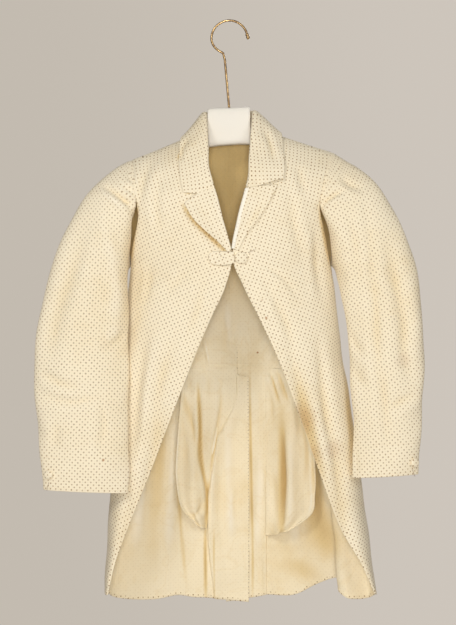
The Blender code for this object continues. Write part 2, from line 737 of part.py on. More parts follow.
def make_sleeve(side, material):
    angle, share = np.meshgrid(np.array(ARMHOLE_ANGLES, float), np.linspace(0, 1, SLEEVE_RINGS))
    wall(f"sleeve_{side}", sleeve_point(side, angle, share), material, tube=True)


def make_collar(material):
    across = np.array(COLLAR_COLUMN_PLACES)
    start = along(COLLAR_ENDS["right"], across)[:, 0]
    end = along(COLLAR_ENDS["left"], across)[:, 0]
    run = np.array(COLLAR_ROW_PLACES)[:, None]
    station = start * (1 - run) + end * run
    wall("collar", collar_point(np.broadcast_to(across, station.shape), station), material)


def make_lapel(side, material):
    across, share = np.meshgrid(np.linspace(0, 1, 6), np.linspace(0, 1, 10))
    wall(f"lapel_{side}", lapel_point(side, across, share), material)


def waist_depth(side, x):
    """How far back the inside of the waist is at each x, from the side's and the back's own rows."""
    across = np.linspace(0, 1, 40)
    level, share = np.full(40, 2.0), np.full(40, 0.5)
    row = np.concatenate([side_point(side, across, level), back_point(side, across, share)])
    row = row[np.argsort(row[:, 0])]
    return np.interp(x, row[:, 0], row[:, 1])


def bag_point(side, across, share):
    """A pocket bag: its top follows the inside of the waist, and below it hangs with a few soft folds."""
    outer, inner = np.split(along(POCKET_BAG[side], share), 2, axis=-1)
    point = between(outer, inner, across)
    top = waist_depth(side, point[..., 0]) - CLOTH / 2 - SEAM_GAP - BAG_WALL / 2
    hang = ease(0.0, 0.16, share)
    folds, depth = BAG_FOLDS[side]
    fold = depth * np.sin(2 * math.pi * folds * across) * ease(0.08, 0.4, share)
    point[..., 1] = top * (1 - hang) + point[..., 1] * hang + fold
    return point


def make_pocket_bag(side, material):
    across, share = np.meshgrid(np.linspace(0, 1, 10), np.linspace(0, 1, 11))
    wall(f"pocket_bag_{side}", bag_point(side, across, share), material, thickness=BAG_WALL)


def make_hanger(material):
    x, top, bottom, middle_y, half_depth, squareness = np.array(HANGER, float).T[:, :, None]
    turn = np.linspace(0, 2 * math.pi, HANGER_SIDES, endpoint=False)[None, :] + math.pi / HANGER_SIDES
    y = middle_y + half_depth * np.sign(np.cos(turn)) * np.abs(np.cos(turn)) ** squareness
    z = (top + bottom) / 2 + (top - bottom) / 2 * np.sign(np.sin(turn)) * np.abs(np.sin(turn)) ** squareness
    loft("hanger", np.stack([np.broadcast_to(x, y.shape), y, z], axis=-1), material)


def make_hook(material):
    """The wire lies in the plane y 0: an open ring with a ball at its end, a bend, then the straight shank."""
    turn = np.radians(np.linspace(RING_FROM, RING_TO, 30))
    radius = HOOK_RADIUS - RING_INWARD * ease(180, RING_TO, np.degrees(turn))
    ring = np.stack([radius * np.cos(turn), RING_CENTRE_Z + radius * np.sin(turn)], axis=-1)
    shank = between(np.array(SHANK_TOP, float), np.array(SHANK_FOOT, float), np.linspace(0, 1, 3))
    line = np.concatenate([ring, shank])
    ahead, thickness = np.array(BALL).T * BALL_RADIUS
    line = np.concatenate([line[0] + unit(line[0] - line[1]) * ahead[:, None], line])
    wire = np.concatenate([thickness, np.full(len(line) - len(BALL), HOOK_WIRE)])
    along_wire = unit(np.gradient(line, axis=0))
    around = np.linspace(0, 2 * math.pi, WIRE_SIDES, endpoint=False)[None, :, None]
    sideways = np.stack([along_wire[:, 1], np.zeros(len(line)), -along_wire[:, 0]], axis=-1)[:, None]
    middle = np.stack([line[:, 0], np.zeros(len(line)), line[:, 1]], axis=-1)[:, None]
    ring_points = middle + wire[:, None, None] * (
        np.cos(around) * sideways + np.sin(around) * np.array([0.0, 1.0, 0.0])
    )
    loft("hanger_hook", ring_points, material)


def make_button(name, centre, direction, sizes, material):
    """A covered button: a shallow dome over a nearly flat back."""
    radius_across, radius_up, thickness = sizes
    right = unit(np.cross(direction, np.array([0.0, 0.0, -1.0])))
    up = np.cross(right, direction)
    turn = np.linspace(0, 2 * math.pi, BUTTON_SIDES, endpoint=False)[:, None]
    rim = right * np.cos(turn) * radius_across + up * np.sin(turn) * radius_up
    rings = np.stack([centre + rim * r + direction * thickness * h for r, h in BUTTON_PROFILE])
    loft(name, rings, material)


def make_closure(material):
    x, z, *sizes = CLOSURE_BUTTON
    place = place_on(front_point, "left", x, z, 0.2, 1.0)
    forward = np.array([0.0, -1.0, 0.0])
    seat = moved_out(front_point, "left", *place, CLOTH / 2 + SEAM_GAP)
    make_button("closure_button", seat, forward, sizes, material)
    share, height = np.meshgrid(np.linspace(0, 1, 9), np.linspace(-1, 1, 5), indexing="ij")
    wall("closure_tab", tab_point(share, height), material)


def tab_point(share, height):
    """The closure's tab: made from the right front's points, moved out, and straight on past the front's edge."""
    x, middle_z, half, distance = np.moveaxis(along(TAB, share), -1, 0)
    z = middle_z + half * height
    on_front = np.minimum(x, TAB_EDGE_X)
    places = place_on(front_point, "right", on_front, z, np.full(x.shape, 0.1), np.full(x.shape, 1.0))
    point = moved_out(front_point, "right", *places, distance)
    point[..., 0] += x - on_front
    return point


def make_cuff_button(side, material):
    x, z, *sizes = CUFF_BUTTONS[side]
    place = place_on(sleeve_point, side, x, z, 60.0, 0.95)
    here = sleeve_point(side, *place)
    direction = unit(moved_out(sleeve_point, side, *place, 1.0) - here)
    make_button(f"cuff_button_{side}", here + direction * (CLOTH / 2 + SEAM_GAP), direction, sizes, material)


def make_material(name, color, roughness, metallic=0.0):
    material = bpy.data.materials.new(name)
    material.use_nodes = True
    shader = material.node_tree.nodes["Principled BSDF"]
    shader.inputs["Base Color"].default_value = (*color, 1)
    shader.inputs["Roughness"].default_value = roughness
    shader.inputs["Metallic"].default_value = metallic
    return material


def main():
    for item in list(bpy.data.objects):
        bpy.data.objects.remove(item, do_unlink=True)
    printed = make_material("printed cotton", (0.83, 0.70, 0.45), 0.85)
    plain = make_material("plain cotton", (0.80, 0.72, 0.50), 0.85)
    board = make_material("white hanger", (0.90, 0.88, 0.84), 0.6)
    brass = make_material("brass wire", (0.60, 0.45, 0.22), 0.35, 1.0)
    for side in ("left", "right"):
        make_front(side, printed)
        make_side(side, printed)
        make_back(side, printed)
        make_sleeve(side, printed)
        make_lapel(side, printed)
        make_cuff_button(side, printed)
        make_pocket_bag(side, plain)
    make_collar(printed)
    make_closure(printed)
    make_hanger(board)
    make_hook(brass)


main()
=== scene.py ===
# %% [markdown]
# # A cutaway coat on a hanger
# The real thing is a light cotton coat, printed with tiny brown dots, that hangs open at the neck and below
# its one button. Cloth could be draped by a simulation, but a coat on a hanger already has its shape: every
# seam is known. So each piece here is a surface of two parameters, worked out with numpy from the same
# seams as the solid model. First the solid model is loaded. It is the frame that fixes every size and
# place.

# %% Load the frame
import math

import bmesh
import bpy
import numpy as np
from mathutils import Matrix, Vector


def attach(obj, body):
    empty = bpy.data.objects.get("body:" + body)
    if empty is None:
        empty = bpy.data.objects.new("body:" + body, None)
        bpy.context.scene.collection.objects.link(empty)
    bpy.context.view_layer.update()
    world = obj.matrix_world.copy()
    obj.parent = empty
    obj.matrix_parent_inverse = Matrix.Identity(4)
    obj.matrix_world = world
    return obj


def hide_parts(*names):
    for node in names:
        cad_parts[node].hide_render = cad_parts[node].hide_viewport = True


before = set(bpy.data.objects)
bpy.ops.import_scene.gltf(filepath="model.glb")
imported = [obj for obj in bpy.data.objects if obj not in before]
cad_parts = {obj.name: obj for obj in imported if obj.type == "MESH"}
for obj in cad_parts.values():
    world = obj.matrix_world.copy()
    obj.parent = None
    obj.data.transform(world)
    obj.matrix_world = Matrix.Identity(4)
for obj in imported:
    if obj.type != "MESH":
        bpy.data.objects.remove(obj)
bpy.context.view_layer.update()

# %% [markdown]
# The camera stands where the photographer stood: level with the middle of the picture, 3.2 m in front of
# the hook. A long lens at that distance keeps the coat's sides nearly parallel. The picture's height is
# 1.1375 m of the coat's plane, so the focal length is the distance times the sensor's height over that.

# %% Camera
PICTURE_WIDTH, PICTURE_HEIGHT = 456, 625  # pixels
PIXEL = 0.00182  # metres at the plane of the hook
CAMERA_DISTANCE = 3.2
CAMERA_X, CAMERA_Z = -0.00273, -0.5294
SENSOR = 36.0  # millimetres, along the picture's height

camera_data = bpy.data.cameras.new("camera")
camera_data.sensor_fit = "VERTICAL"
camera_data.sensor_height = SENSOR
camera_data.lens = CAMERA_DISTANCE * SENSOR / (PIXEL * PICTURE_HEIGHT)
camera = bpy.data.objects.new("camera", camera_data)
camera.location = (CAMERA_X, -CAMERA_DISTANCE, CAMERA_Z)
camera.rotation_euler = (math.pi / 2, 0, 0)
bpy.context.scene.collection.objects.link(camera)
bpy.context.scene.camera = camera
print("lens", round(camera_data.lens, 1), "mm for a picture of", PICTURE_WIDTH, "by", PICTURE_HEIGHT)

# %% [markdown]
# Seams are read from short tables: a few rows of real millimetres, with a smooth curve through them. The
# curve is a cubic between each two rows whose slope at a row is the weighted mean of the slopes on its two
# sides. It could be a Bezier curve made by hand, but a table is easier to measure and to correct.

# %% Curves through tables
MM = 0.001
UP = np.array([0.0, 0.0, 1.0])


def hermite(start, leaving, end, arriving, t):
    """The cubic from start to end, t from 0 to 1, with these slopes as it leaves and arrives."""
    near = start * (1 + 2 * t) * (1 - t) ** 2 + leaving * t * (1 - t) ** 2
    return near + end * t * t * (3 - 2 * t) + arriving * t * t * (t - 1)


def through(knots, values, at):
    """A smooth curve through values at the knots: Hermite cubics with weighted mean slopes."""
    knots, values, at = (np.asarray(a, float) for a in (knots, values, at))
    step = np.diff(knots)
    rise = np.diff(values, axis=0) / step[:, None]
    slope = np.empty_like(values)
    weight = (step[1:] + step[:-1])[:, None]
    slope[1:-1] = (rise[:-1] * step[1:, None] + rise[1:] * step[:-1, None]) / weight
    slope[0], slope[-1] = rise[0], rise[-1]
    i = np.clip(np.searchsorted(knots, at, side="right") - 1, 0, len(step) - 1)
    h = step[i][..., None]
    t = ((at - knots[i]) / step[i])[..., None]
    return hermite(values[i], slope[i] * h, values[i + 1], slope[i + 1] * h, t)


def along(table, at):
    """The other columns of a table, read smoothly at places in its first column."""
    rows = np.array(table, float)
    return through(rows[:, 0], rows[:, 1:], at)


def place_in(table, row=0):
    """The point that one row of a table holds after its first column."""
    return np.array(table[row][1:], float)


def grid_of(first, second):
    """Two parameters as arrays of one shape."""
    return np.broadcast_arrays(np.asarray(first, float), np.asarray(second, float))


def ease(low, high, at):
    """0 up to low, 1 from high on, and between them t*t*(3 - 2t)."""
    t = np.clip((np.asarray(at, float) - low) / (high - low), 0, 1)
    return t * t * (3 - 2 * t)


def between(start, end, share):
    """start plus a share of the way to end."""
    return start + (end - start) * np.asarray(share, float)[..., None]


def unit(vectors):
    """Each vector over its own length."""
    return vectors / np.linalg.norm(vectors, axis=-1, keepdims=True)


def closer_at_ends(count, tightness=0.7):
    """count places from 0 to 1: t - k sin(2 pi t) / (2 pi), so that they lie closer at both ends."""
    t = np.linspace(0, 1, count)
    return t - tightness * np.sin(2 * math.pi * t) / (2 * math.pi)

# %% [markdown]
# The tables are the coat's seams, in millimetres from the hook's crown. Left and right are the wearer's, so
# the wearer's right is at -X. Levels count down the fronts and sides: 0 shoulder, 1 underarm, 2 waist, 3
# hem.

# %% The seams
SIDES = ("right", "left")
UNDERARM, WAIST, HEM = 1.0, 2.0, 3.0
BACK_WAIST = 0.5  # the waist's share down the back, from the top of the side-back seam
SIDE_BACK_ANGLE = 240.0  # where the side-back seam leaves the armhole
SHOULDER_NECK = 0.3  # where along the back's top row the neck ends and the shoulder seam starts
NECK_TURN = math.radians(68)  # how far the back's half of the neck turns
VENT_LAP, VENT_DEPTH = 21.0, 3.0  # how far the tails pass the middle of the back, and lie apart

# %% The armhole
# Round the armhole, seen from the wearer's side: 0 shoulder tip, 90 front, 180 underarm, 270 back
# columns: angle, x, y, z
ARMHOLE = {"right": (
    (0, -178, 6, -252),
    (12, -177, -6, -254.5),
    (40, -173, -34, -280),
    (80, -170, -50, -314),
    (110, -167, -50, -340),
    (135, -170, -34, -372),
    (160, -177, -10, -418),
    (180, -179, 8, -441),
    (205, -176, 34, -428),
    (240, -168, 55, -385),
    (280, -163, 57, -328),
    (320, -170, 42, -280),
    (348, -177, 18, -254.5),
    (360, -178, 6, -252),
), "left": (
    (0, 185, 6, -237),
    (12, 184, -6, -240),
    (40, 177, -34, -268),
    (80, 168, -52, -308),
    (110, 162, -50, -338),
    (135, 170, -34, -370),
    (160, 180, -10, -420),
    (180, 185, 8, -443),
    (205, 183, 34, -430),
    (240, 173, 55, -385),
    (280, 168, 57, -326),
    (320, 176, 42, -270),
    (348, 184, 18, -240),
    (360, 185, 6, -237),
)}

# %% The front's edge
# The front's own edge: neck, roll line, closure, then the cutaway line to the hem
# columns: level, x, y, z
FRONT_EDGE = {"right": (
    (0.00, -52, 2, -201),
    (0.05, -50.5, -7, -203),
    (0.12, -47, -19, -211),
    (0.25, -43, -40, -234),
    (0.50, -37, -62, -287),
    (0.62, -27, -70, -312),
    (0.80, -14, -77, -362),
    (1.00, 3, -80, -432),
    (1.20, -7, -80, -480),
    (1.50, -36, -78, -545),
    (2.00, -77, -73, -645),
    (2.25, -106, -68, -720),
    (2.50, -142, -62, -815),
    (2.75, -184, -57, -920),
    (2.90, -207, -53, -985),
    (3.00, -218, -49, -1035),
), "left": (
    (0.00, 54, 2, -197),
    (0.05, 52, -7, -199),
    (0.12, 47, -19, -207),
    (0.25, 42, -40, -232),
    (0.50, 36.5, -64, -285),
    (0.62, 30, -72, -312),
    (0.80, 17, -77, -362),
    (1.00, 6, -80, -432),
    (1.20, 24, -80, -480),
    (1.50, 56, -78, -545),
    (2.00, 100, -75, -645),
    (2.25, 127, -72, -720),
    (2.50, 161, -68, -815),
    (2.75, 202, -66, -921),
    (2.90, 237, -64, -981),
    (3.00, 259, -56, -1030),
)}

# %% The side's seams
# The seam down the side, from the underarm to the hem
# columns: level, x, y, z
SIDE_SEAM = {"right": (
    (1.00, -179, 8, -441),
    (1.20, -184, 10, -485),
    (1.50, -190, 12, -550),
    (2.00, -199, 14, -645),
    (2.25, -205, 14, -720),
    (2.50, -214, 14, -815),
    (2.75, -221, 12, -920),
    (3.00, -226, 8, -1038),
), "left": (
    (1.00, 185, 8, -443),
    (1.20, 190, 10, -485),
    (1.50, 198, 12, -550),
    (2.00, 211, 14, -645),
    (2.25, 224, 14, -720),
    (2.50, 236, 10, -815),
    (2.75, 251, 2, -920),
    (3.00, 265, -10, -1040),
)}

# The side-back seam, from the armhole in to the waist, then down the skirt
# columns: share, x, y, z
SIDE_BACK = {"right": (
    (0.00, -168, 55, -385),
    (0.12, -132, 67, -428),
    (0.25, -94, 75, -495),
    (0.38, -64, 78, -560),
    (0.50, -43, 79, -636),
    (0.62, -40, 80, -730),
    (0.80, -40, 84, -890),
    (1.00, -40, 88, -1062),
), "left": (
    (0.00, 173, 55, -385),
    (0.12, 144, 67, -428),
    (0.25, 114, 75, -495),
    (0.38, 90, 78, -560),
    (0.50, 72, 79, -636),
    (0.62, 70, 80, -730),
    (0.80, 70, 84, -890),
    (1.00, 70, 88, -1056),
)}

# %% The side's hem
# How the side's hem falls, from the side seam in to the side-back seam; the left one has a deep fold
# columns: across, x, y, z
SIDE_HEM = {"right": (
    (0.00, -226, 8, -1038),
    (0.12, -215, 30, -1050),
    (0.32, -180, 50, -1059),
    (0.52, -135, 66, -1061),
    (0.70, -96, 80, -1056),
    (0.85, -66, 86, -1061),
    (1.00, -40, 88, -1062),
), "left": (
    (0.00, 265, -10, -1040),
    (0.09, 256, 6, -1048),
    (0.22, 232, 4, -1051),
    (0.36, 209, 0, -1046),
    (0.44, 199, 11, -1036),
    (0.52, 210, 32, -1029),
    (0.60, 214, 54, -1024),
    (0.70, 196, 75, -1023),
    (0.80, 163, 85, -1036),
    (0.90, 120, 89, -1057),
    (1.00, 70, 88, -1056),
)}

# %% The back's lines
# The middle of the back, and the line down each back panel from the end of the neck
# columns: share, x, y, z; the upper tables run from the neck to the top of the side-back seam
CENTRE_BACK_UPPER = (
    (0, 0, 44, -198),
    (0.3, 0, 56, -240),
    (0.6, 1, 64, -300),
    (1, 2, 71, -385),
)
CENTRE_BACK_LOWER = (
    (0.00, 2, 71, -385),
    (0.12, 4, 74, -430),
    (0.25, 8, 77, -500),
    (0.50, 15, 80, -640),
    (0.62, 15, 82, -735),
    (0.80, 15, 86, -895),
    (1.00, 15, 90, -1070),
)
SHOULDER_BLADE_UPPER = {"right": (
    (0, -52, 2, -201),
    (0.08, -52.5, 12, -203.5),
    (0.2, -54, 28, -214),
    (0.5, -56, 50, -255),
    (0.75, -58, 63, -312),
    (1, -59, 70, -385),
), "left": (
    (0, 54, 2, -197),
    (0.08, 54.5, 12, -199.5),
    (0.2, 56, 28, -211),
    (0.5, 58, 50, -253),
    (0.75, 60, 63, -311),
    (1, 61, 70, -385),
)}

# %% The sleeve's rings
# The sleeves are flattened tubes. Each ring runs from the outer edge to the inner edge.
# columns: share, outer x, outer z, inner x, inner z, middle y, half depth
SLEEVE = {"right": (
    (0.00, -178, -252, -178, -441, 3, 53),
    (0.06, -203, -267, -184, -452, -9, 47),
    (0.12, -232, -290, -185, -468, -18, 41),
    (0.19, -260, -321, -184, -488, -25, 36),
    (0.26, -284, -363, -182.5, -514, -30, 33),
    (0.34, -304, -404, -182, -542, -34, 31),
    (0.42, -320, -450, -182, -575, -37, 30),
    (0.51, -334, -508, -182, -616, -41, 29),
    (0.60, -346, -567, -182, -658, -46, 28),
    (0.68, -350, -622, -181.5, -694, -51, 27),
    (0.76, -348, -668, -181, -730, -55, 25),
    (0.84, -343, -718, -181, -764, -59, 23),
    (0.92, -338, -778, -179, -806, -62, 21),
    (1.00, -332, -845, -181, -851, -64, 19),
), "left": (
    (0.00, 185, -237, 184, -443, 3, 53),
    (0.06, 209, -253, 191, -452, -9, 47),
    (0.12, 234, -269, 195, -466, -18, 41),
    (0.19, 264, -298, 200, -485, -24, 36),
    (0.26, 290, -336, 204, -508, -28, 33),
    (0.34, 312, -378, 209, -538, -31, 31),
    (0.42, 328, -421, 213, -567, -34, 30),
    (0.51, 340, -478, 216, -608, -38, 29),
    (0.60, 346, -540, 218, -648, -43, 28),
    (0.68, 348, -600, 220, -684, -47, 27),
    (0.76, 347, -650, 221.5, -718, -50, 25),
    (0.84, 344, -706, 222, -752, -53, 23),
    (0.92, 341, -768, 220.5, -790, -56, 21),
    (1.00, 337, -818, 219, -824, -58, 19),
)}

# %% The collar's stations
# The collar runs from the wearer's right notch, round the neck, to the left one.
# columns: station, neck seam x, y, z, fold x, y, z, outer edge x, y, z
COLLAR = (
    (0.00, -24.5, -71.5, -316, -27, -75, -318, -80, -72, -322),
    (0.05, -30, -68.5, -296, -30.5, -72.5, -298, -84, -69, -308),
    (0.12, -37.5, -59, -266, -38.5, -66, -270, -88, -62, -286),
    (0.20, -41, -38, -229, -39.3, -53, -235, -90, -51, -262),
    (0.28, -45.5, -16.5, -207, -40.5, -36, -202, -90, -36, -235),
    (0.36, -49.8, 1.5, -197.5, -43, -6, -168, -86, -8, -210),
    (0.42, -46.5, 20, -195.5, -42, 16, -163, -77, 22, -213),
    (0.46, -28, 36.8, -194.5, -26, 35, -162, -48, 50, -218),
    (0.50, 0, 43, -194, 0, 42, -161, 0, 63, -221),
    (0.54, 28, 36.8, -193.5, 26, 35, -160, 50, 50, -216),
    (0.58, 47, 20, -193, 42, 16, -161, 84, 22, -207),
    (0.64, 51.3, 1.5, -194, 43, -6, -165, 93, -8, -203),
    (0.72, 46, -16.5, -204, 39.8, -36, -200, 96, -37, -234),
    (0.80, 40, -38, -228, 37.8, -54, -236, 98, -57, -266),
    (0.88, 35.5, -58, -264, 36, -68, -268, 96, -66, -288),
    (0.95, 32, -69, -292, 35.5, -74, -295, 92, -71, -303),
    (1.00, 27.5, -73, -310, 31, -76.5, -312, 86, -74, -317),
)
COLLAR_FOLD = 0.46  # where across the collar it folds
FOLD_ROUNDNESS = 1.5  # how far the fold swings out, for the stand's height
FOLD_LIMIT = 32.0  # the fold grows no wider than it is for this much stand
# Where each end of the collar is cut, from the neck seam out to the outer edge
# columns: across, station
COLLAR_ENDS = {
    "right": ((0.0, 0.018), (0.46, 0.018), (0.70, 0.004), (1.0, 0.025)),
    "left": ((0.0, 0.985), (0.46, 0.985), (0.70, 0.966), (1.0, 0.89)),
}

# %% The lapel's lines
# The lapels lie on the fronts, from the fold out to their free edge
# columns: share down, level at the fold, level half way, level at the edge, reach across the front, lift
LAPEL = {"right": (
    (0.00, 0.610, 0.630, 0.690, 0.242, 4.5),
    (0.30, 0.700, 0.740, 0.785, 0.182, 6.5),
    (0.60, 0.810, 0.835, 0.858, 0.107, 6),
    (0.85, 0.905, 0.913, 0.920, 0.044, 3.5),
    (1.00, 0.965, 0.965, 0.965, 0.012, 0.5),
), "left": (
    (0.00, 0.610, 0.572, 0.550, 0.270, 1.5),
    (0.30, 0.700, 0.690, 0.680, 0.195, 1.5),
    (0.60, 0.810, 0.805, 0.800, 0.112, 1.5),
    (0.85, 0.910, 0.900, 0.885, 0.050, 1),
    (1.00, 0.950, 0.955, 0.960, 0.022, 0.5),
)}
LAPEL_LIFT = 3.4  # from the middle of the front's wall to the middle of the lapel's

# %% [markdown]
# Each panel is a surface of two parameters: a place across it and a place down it.

# %% Surfaces
def front_point(side, across, level):
    """A front: each level is a row from the front's edge, across 0, to the armhole or side seam, across 1.

    Rows are straight at the shoulder and turn into a quarter of an oval by the underarm.
    """
    across, level = grid_of(across, level)
    inner = along(FRONT_EDGE[side], level)
    above = along(ARMHOLE[side], 180 * np.minimum(level, UNDERARM))
    below = along(SIDE_SEAM[side], np.maximum(level, UNDERARM))
    outer = np.where((level < UNDERARM)[..., None], above, below)
    turn = across * math.pi / 2
    roundness = ease(0.0, 0.9, level)
    sideways = (1 - roundness) * across + roundness * np.sin(turn) ** 0.9
    forward = (1 - roundness) * (1 - across) + roundness * np.cos(turn) ** 0.9
    shares = np.stack([sideways, 1 - forward, across], axis=-1)
    return inner + (outer - inner) * shares


def side_point(side, across, level):
    """A side: a quarter of an oval from the side seam, across 0, to the side-back seam, across 1."""
    across, level = grid_of(across, level)

    def oval(where, at):
        seam = along(SIDE_SEAM[side], at)
        back = along(SIDE_BACK[side], (at - UNDERARM) / (HEM - UNDERARM))
        turn = where * math.pi / 2
        shares = np.stack([1 - np.cos(turn), np.sin(turn), where], axis=-1)
        return seam + (back - seam) * shares

    top = along(ARMHOLE[side], 180 + (SIDE_BACK_ANGLE - 180) * across)
    hem = along(SIDE_HEM[side], across)
    to_top = (1 - ease(1.0, 1.35, level))[..., None]
    to_hem = ease(2.0, 3.0, level)[..., None]
    shape = oval(across, level)
    shape = shape + (top - oval(across, np.full_like(level, UNDERARM))) * to_top
    return shape + (hem - oval(across, np.full_like(level, HEM))) * to_hem

# %% Surface of a back
def back_top(side, across):
    """The back's top row: round the neck from the middle, then along the shoulder seam."""
    neck_end, tip = place_in(SHOULDER_BLADE_UPPER[side]), place_in(ARMHOLE[side])
    middle = place_in(CENTRE_BACK_UPPER)
    share = np.clip(across / SHOULDER_NECK, 0, 1)
    turn = share * NECK_TURN
    back, aside = (1 - np.cos(turn)) / (1 - math.cos(NECK_TURN)), np.sin(turn) / math.sin(NECK_TURN)
    shares = np.stack([aside, back, share], axis=-1)
    neck = middle + (neck_end - middle) * shares
    shoulder = between(neck_end, tip, (across - SHOULDER_NECK) / (1 - SHOULDER_NECK))
    return np.where((across < SHOULDER_NECK)[..., None], neck, shoulder)


def straight_back(middle, outer, across):
    """A row of the back: even steps across and down, level at the middle and at the outer seam."""
    turned = np.sin(across * math.pi / 2) ** 2
    return middle + (outer - middle) * np.stack([across, turned, across], axis=-1)


def back_point(side, across, down):
    """A back: from its middle, across 0, to the armhole or side-back seam, across 1.

    down runs from -1 at the neck and shoulder, 0 at the top of the side-back seam, to 1 at the hem.
    """
    across, down = grid_of(across, down)
    upper, lower = np.clip(down + 1, 0, 1), np.clip(down, 0, 1)
    above = down < 0

    def guide(high, low):
        return np.where(above[..., None], high, low)

    middle = guide(along(CENTRE_BACK_UPPER, upper), along(CENTRE_BACK_LOWER, lower))
    angle = 360 - (360 - SIDE_BACK_ANGLE) * upper
    outer = guide(along(ARMHOLE[side], angle), along(SIDE_BACK[side], lower))
    neck_at = np.array(SHOULDER_NECK)
    blade_start = place_in(SHOULDER_BLADE_UPPER[side], -1)
    straight_start = straight_back(place_in(CENTRE_BACK_LOWER), place_in(SIDE_BACK[side]), neck_at)
    swell_low = (blade_start - straight_start) * (1 - ease(0.0, 0.5, lower))[..., None]
    neck_share = np.full(across.shape, SHOULDER_NECK)
    swell_high = along(SHOULDER_BLADE_UPPER[side], upper) - straight_back(middle, outer, neck_share)
    swell = guide(swell_high, swell_low)
    to_blade = np.sin(across / SHOULDER_NECK * math.pi / 2)
    past_blade = np.cos((across - SHOULDER_NECK) / (1 - SHOULDER_NECK) * math.pi / 2)
    hump = np.where(across < SHOULDER_NECK, to_blade, past_blade)[..., None] ** 2
    row = straight_back(middle, outer, across) + swell * hump
    ends = place_in(CENTRE_BACK_UPPER), place_in(ARMHOLE[side])
    top_swell = place_in(SHOULDER_BLADE_UPPER[side]) - straight_back(*ends, neck_at)
    plain_top = straight_back(*ends, across) + top_swell * hump
    row = row + (back_top(side, across) - plain_top) * (1 - ease(0.0, 0.45, upper))[..., None]
    # below the waist the two tails pass each other
    lap = VENT_LAP * ease(0.505, 0.515, lower) * (1 - across) ** 2
    depth = VENT_DEPTH * ease(0.42, 0.5, lower) * (1 - across) ** 2
    toward_left, inward = (1, -1) if side == "right" else (-1, 1)
    row[..., 0] += toward_left * lap
    row[..., 1] += inward * depth
    return row

# %% Surface of a sleeve
def sleeve_point(side, angle, share):
    """A sleeve: rings from the armhole, share 0, to the cuff, share 1.

    angle 0 is the outer edge, 90 the front, 180 the inner edge, 270 the back.
    """
    angle, share = grid_of(angle, share)

    def flat_tube(at):
        outer_x, outer_z, inner_x, inner_z, middle_y, half_depth = np.moveaxis(along(SLEEVE[side], at), -1, 0)
        turn = np.radians(angle)
        outward, forward = np.cos(turn), np.sin(turn)
        y = middle_y - half_depth * forward * np.abs(forward) ** 0.25
        x = (outer_x + inner_x) / 2 + (outer_x - inner_x) / 2 * outward
        z = (outer_z + inner_z) / 2 + (outer_z - inner_z) / 2 * outward
        return np.stack([x, y, z], axis=-1)

    seam = along(ARMHOLE[side], angle)
    near_seam = (1 - ease(0.0, 0.2, share))[..., None]
    return flat_tube(share) + (seam - flat_tube(np.zeros_like(share))) * near_seam

# %% Surface of the collar
def collar_point(across, station):
    """The collar: up from the neck seam, over the fold and down to its outer edge."""
    across, station = grid_of(across, station)
    neck, fold, edge = np.split(along(COLLAR, station), 3, axis=-1)
    first, second = COLLAR_FOLD, 1 - COLLAR_FOLD
    up, down = (fold - neck) / first, (edge - fold) / second
    turning = unit(unit(up) + unit(down))
    speed = FOLD_ROUNDNESS * np.minimum(np.linalg.norm(up, axis=-1), FOLD_LIMIT)[..., None]
    at_fold = turning * speed
    across = across[..., None]
    rising = hermite(neck, up * first, fold, at_fold * first, across / first)
    falling = hermite(fold, at_fold * second, edge, down * second, (across - first) / second)
    return np.where(across < COLLAR_FOLD, rising, falling)

# %% Places on a surface
def moved_out(function, side, across, level, distance):
    """Points of a panel, moved along its direction (down x across, turned to the front) by a distance."""
    step = 0.004
    point = function(side, across, level)
    along_row = function(side, across + step, level) - function(side, np.maximum(across - step, 0), level)
    along_column = function(side, across, level + step) - function(side, across, level - step)
    direction = unit(np.cross(along_column, along_row))
    direction *= -np.sign(direction[..., 1:2])
    return point + direction * np.asarray(distance)[..., None]


def place_on(function, side, x, z, first, second):
    """The two parameters of the point that shows a given x and z, found from a start by Newton's steps."""
    step = 0.001
    for _ in range(60):
        here = function(side, first, second)
        by_first = (function(side, first + step, second) - here) / step
        by_second = (function(side, first, second + step) - here) / step
        miss_x, miss_z = x - here[..., 0], z - here[..., 2]
        scale = by_first[..., 0] * by_second[..., 2] - by_first[..., 2] * by_second[..., 0]
        first = first + 0.5 * (miss_x * by_second[..., 2] - miss_z * by_second[..., 0]) / scale
        second = second + 0.5 * (miss_z * by_first[..., 0] - miss_x * by_first[..., 2]) / scale
    return first, second

# %% [markdown]
# The direction of a surface is worked out from its own grid, and everything that lies on the cloth follows
# it.

# %% Directions
def normals(points, tube=False):
    """The surface's direction at each grid point: the cross product of the steps down and across the grid."""
    if tube:
        ring = points[:, :-1]
        across = np.roll(ring, -1, axis=1) - np.roll(ring, 1, axis=1)
        across = np.concatenate([across, across[:, :1]], axis=1)
    else:
        across = np.gradient(points, axis=1, edge_order=2)
    return unit(np.cross(np.gradient(points, axis=0, edge_order=2), across))


def away(points, centre, tube=False):
    """The grid's directions, turned round if its middle faces the centre."""
    row, column = points.shape[0] // 2, points.shape[1] // 2
    direction = normals(points, tube)
    return direction * np.sign(((points[row, column] - centre) * direction[row, column]).sum())


def reach(points, axis):
    """Running lengths in millimetres along the rows (axis 1) or columns (axis 0) of a grid."""
    step = np.linalg.norm(np.diff(points, axis=axis), axis=-1)
    zero = np.zeros_like(np.take(step, [0], axis=axis))
    return np.concatenate([zero, np.cumsum(step, axis=axis)], axis=axis)


def from_edges(points):
    """Distances of each grid point from the first row, last row, first column and last column."""
    down, across = reach(points, 0), reach(points, 1)
    return down, down[-1:] - down, across, across[:, -1:] - across

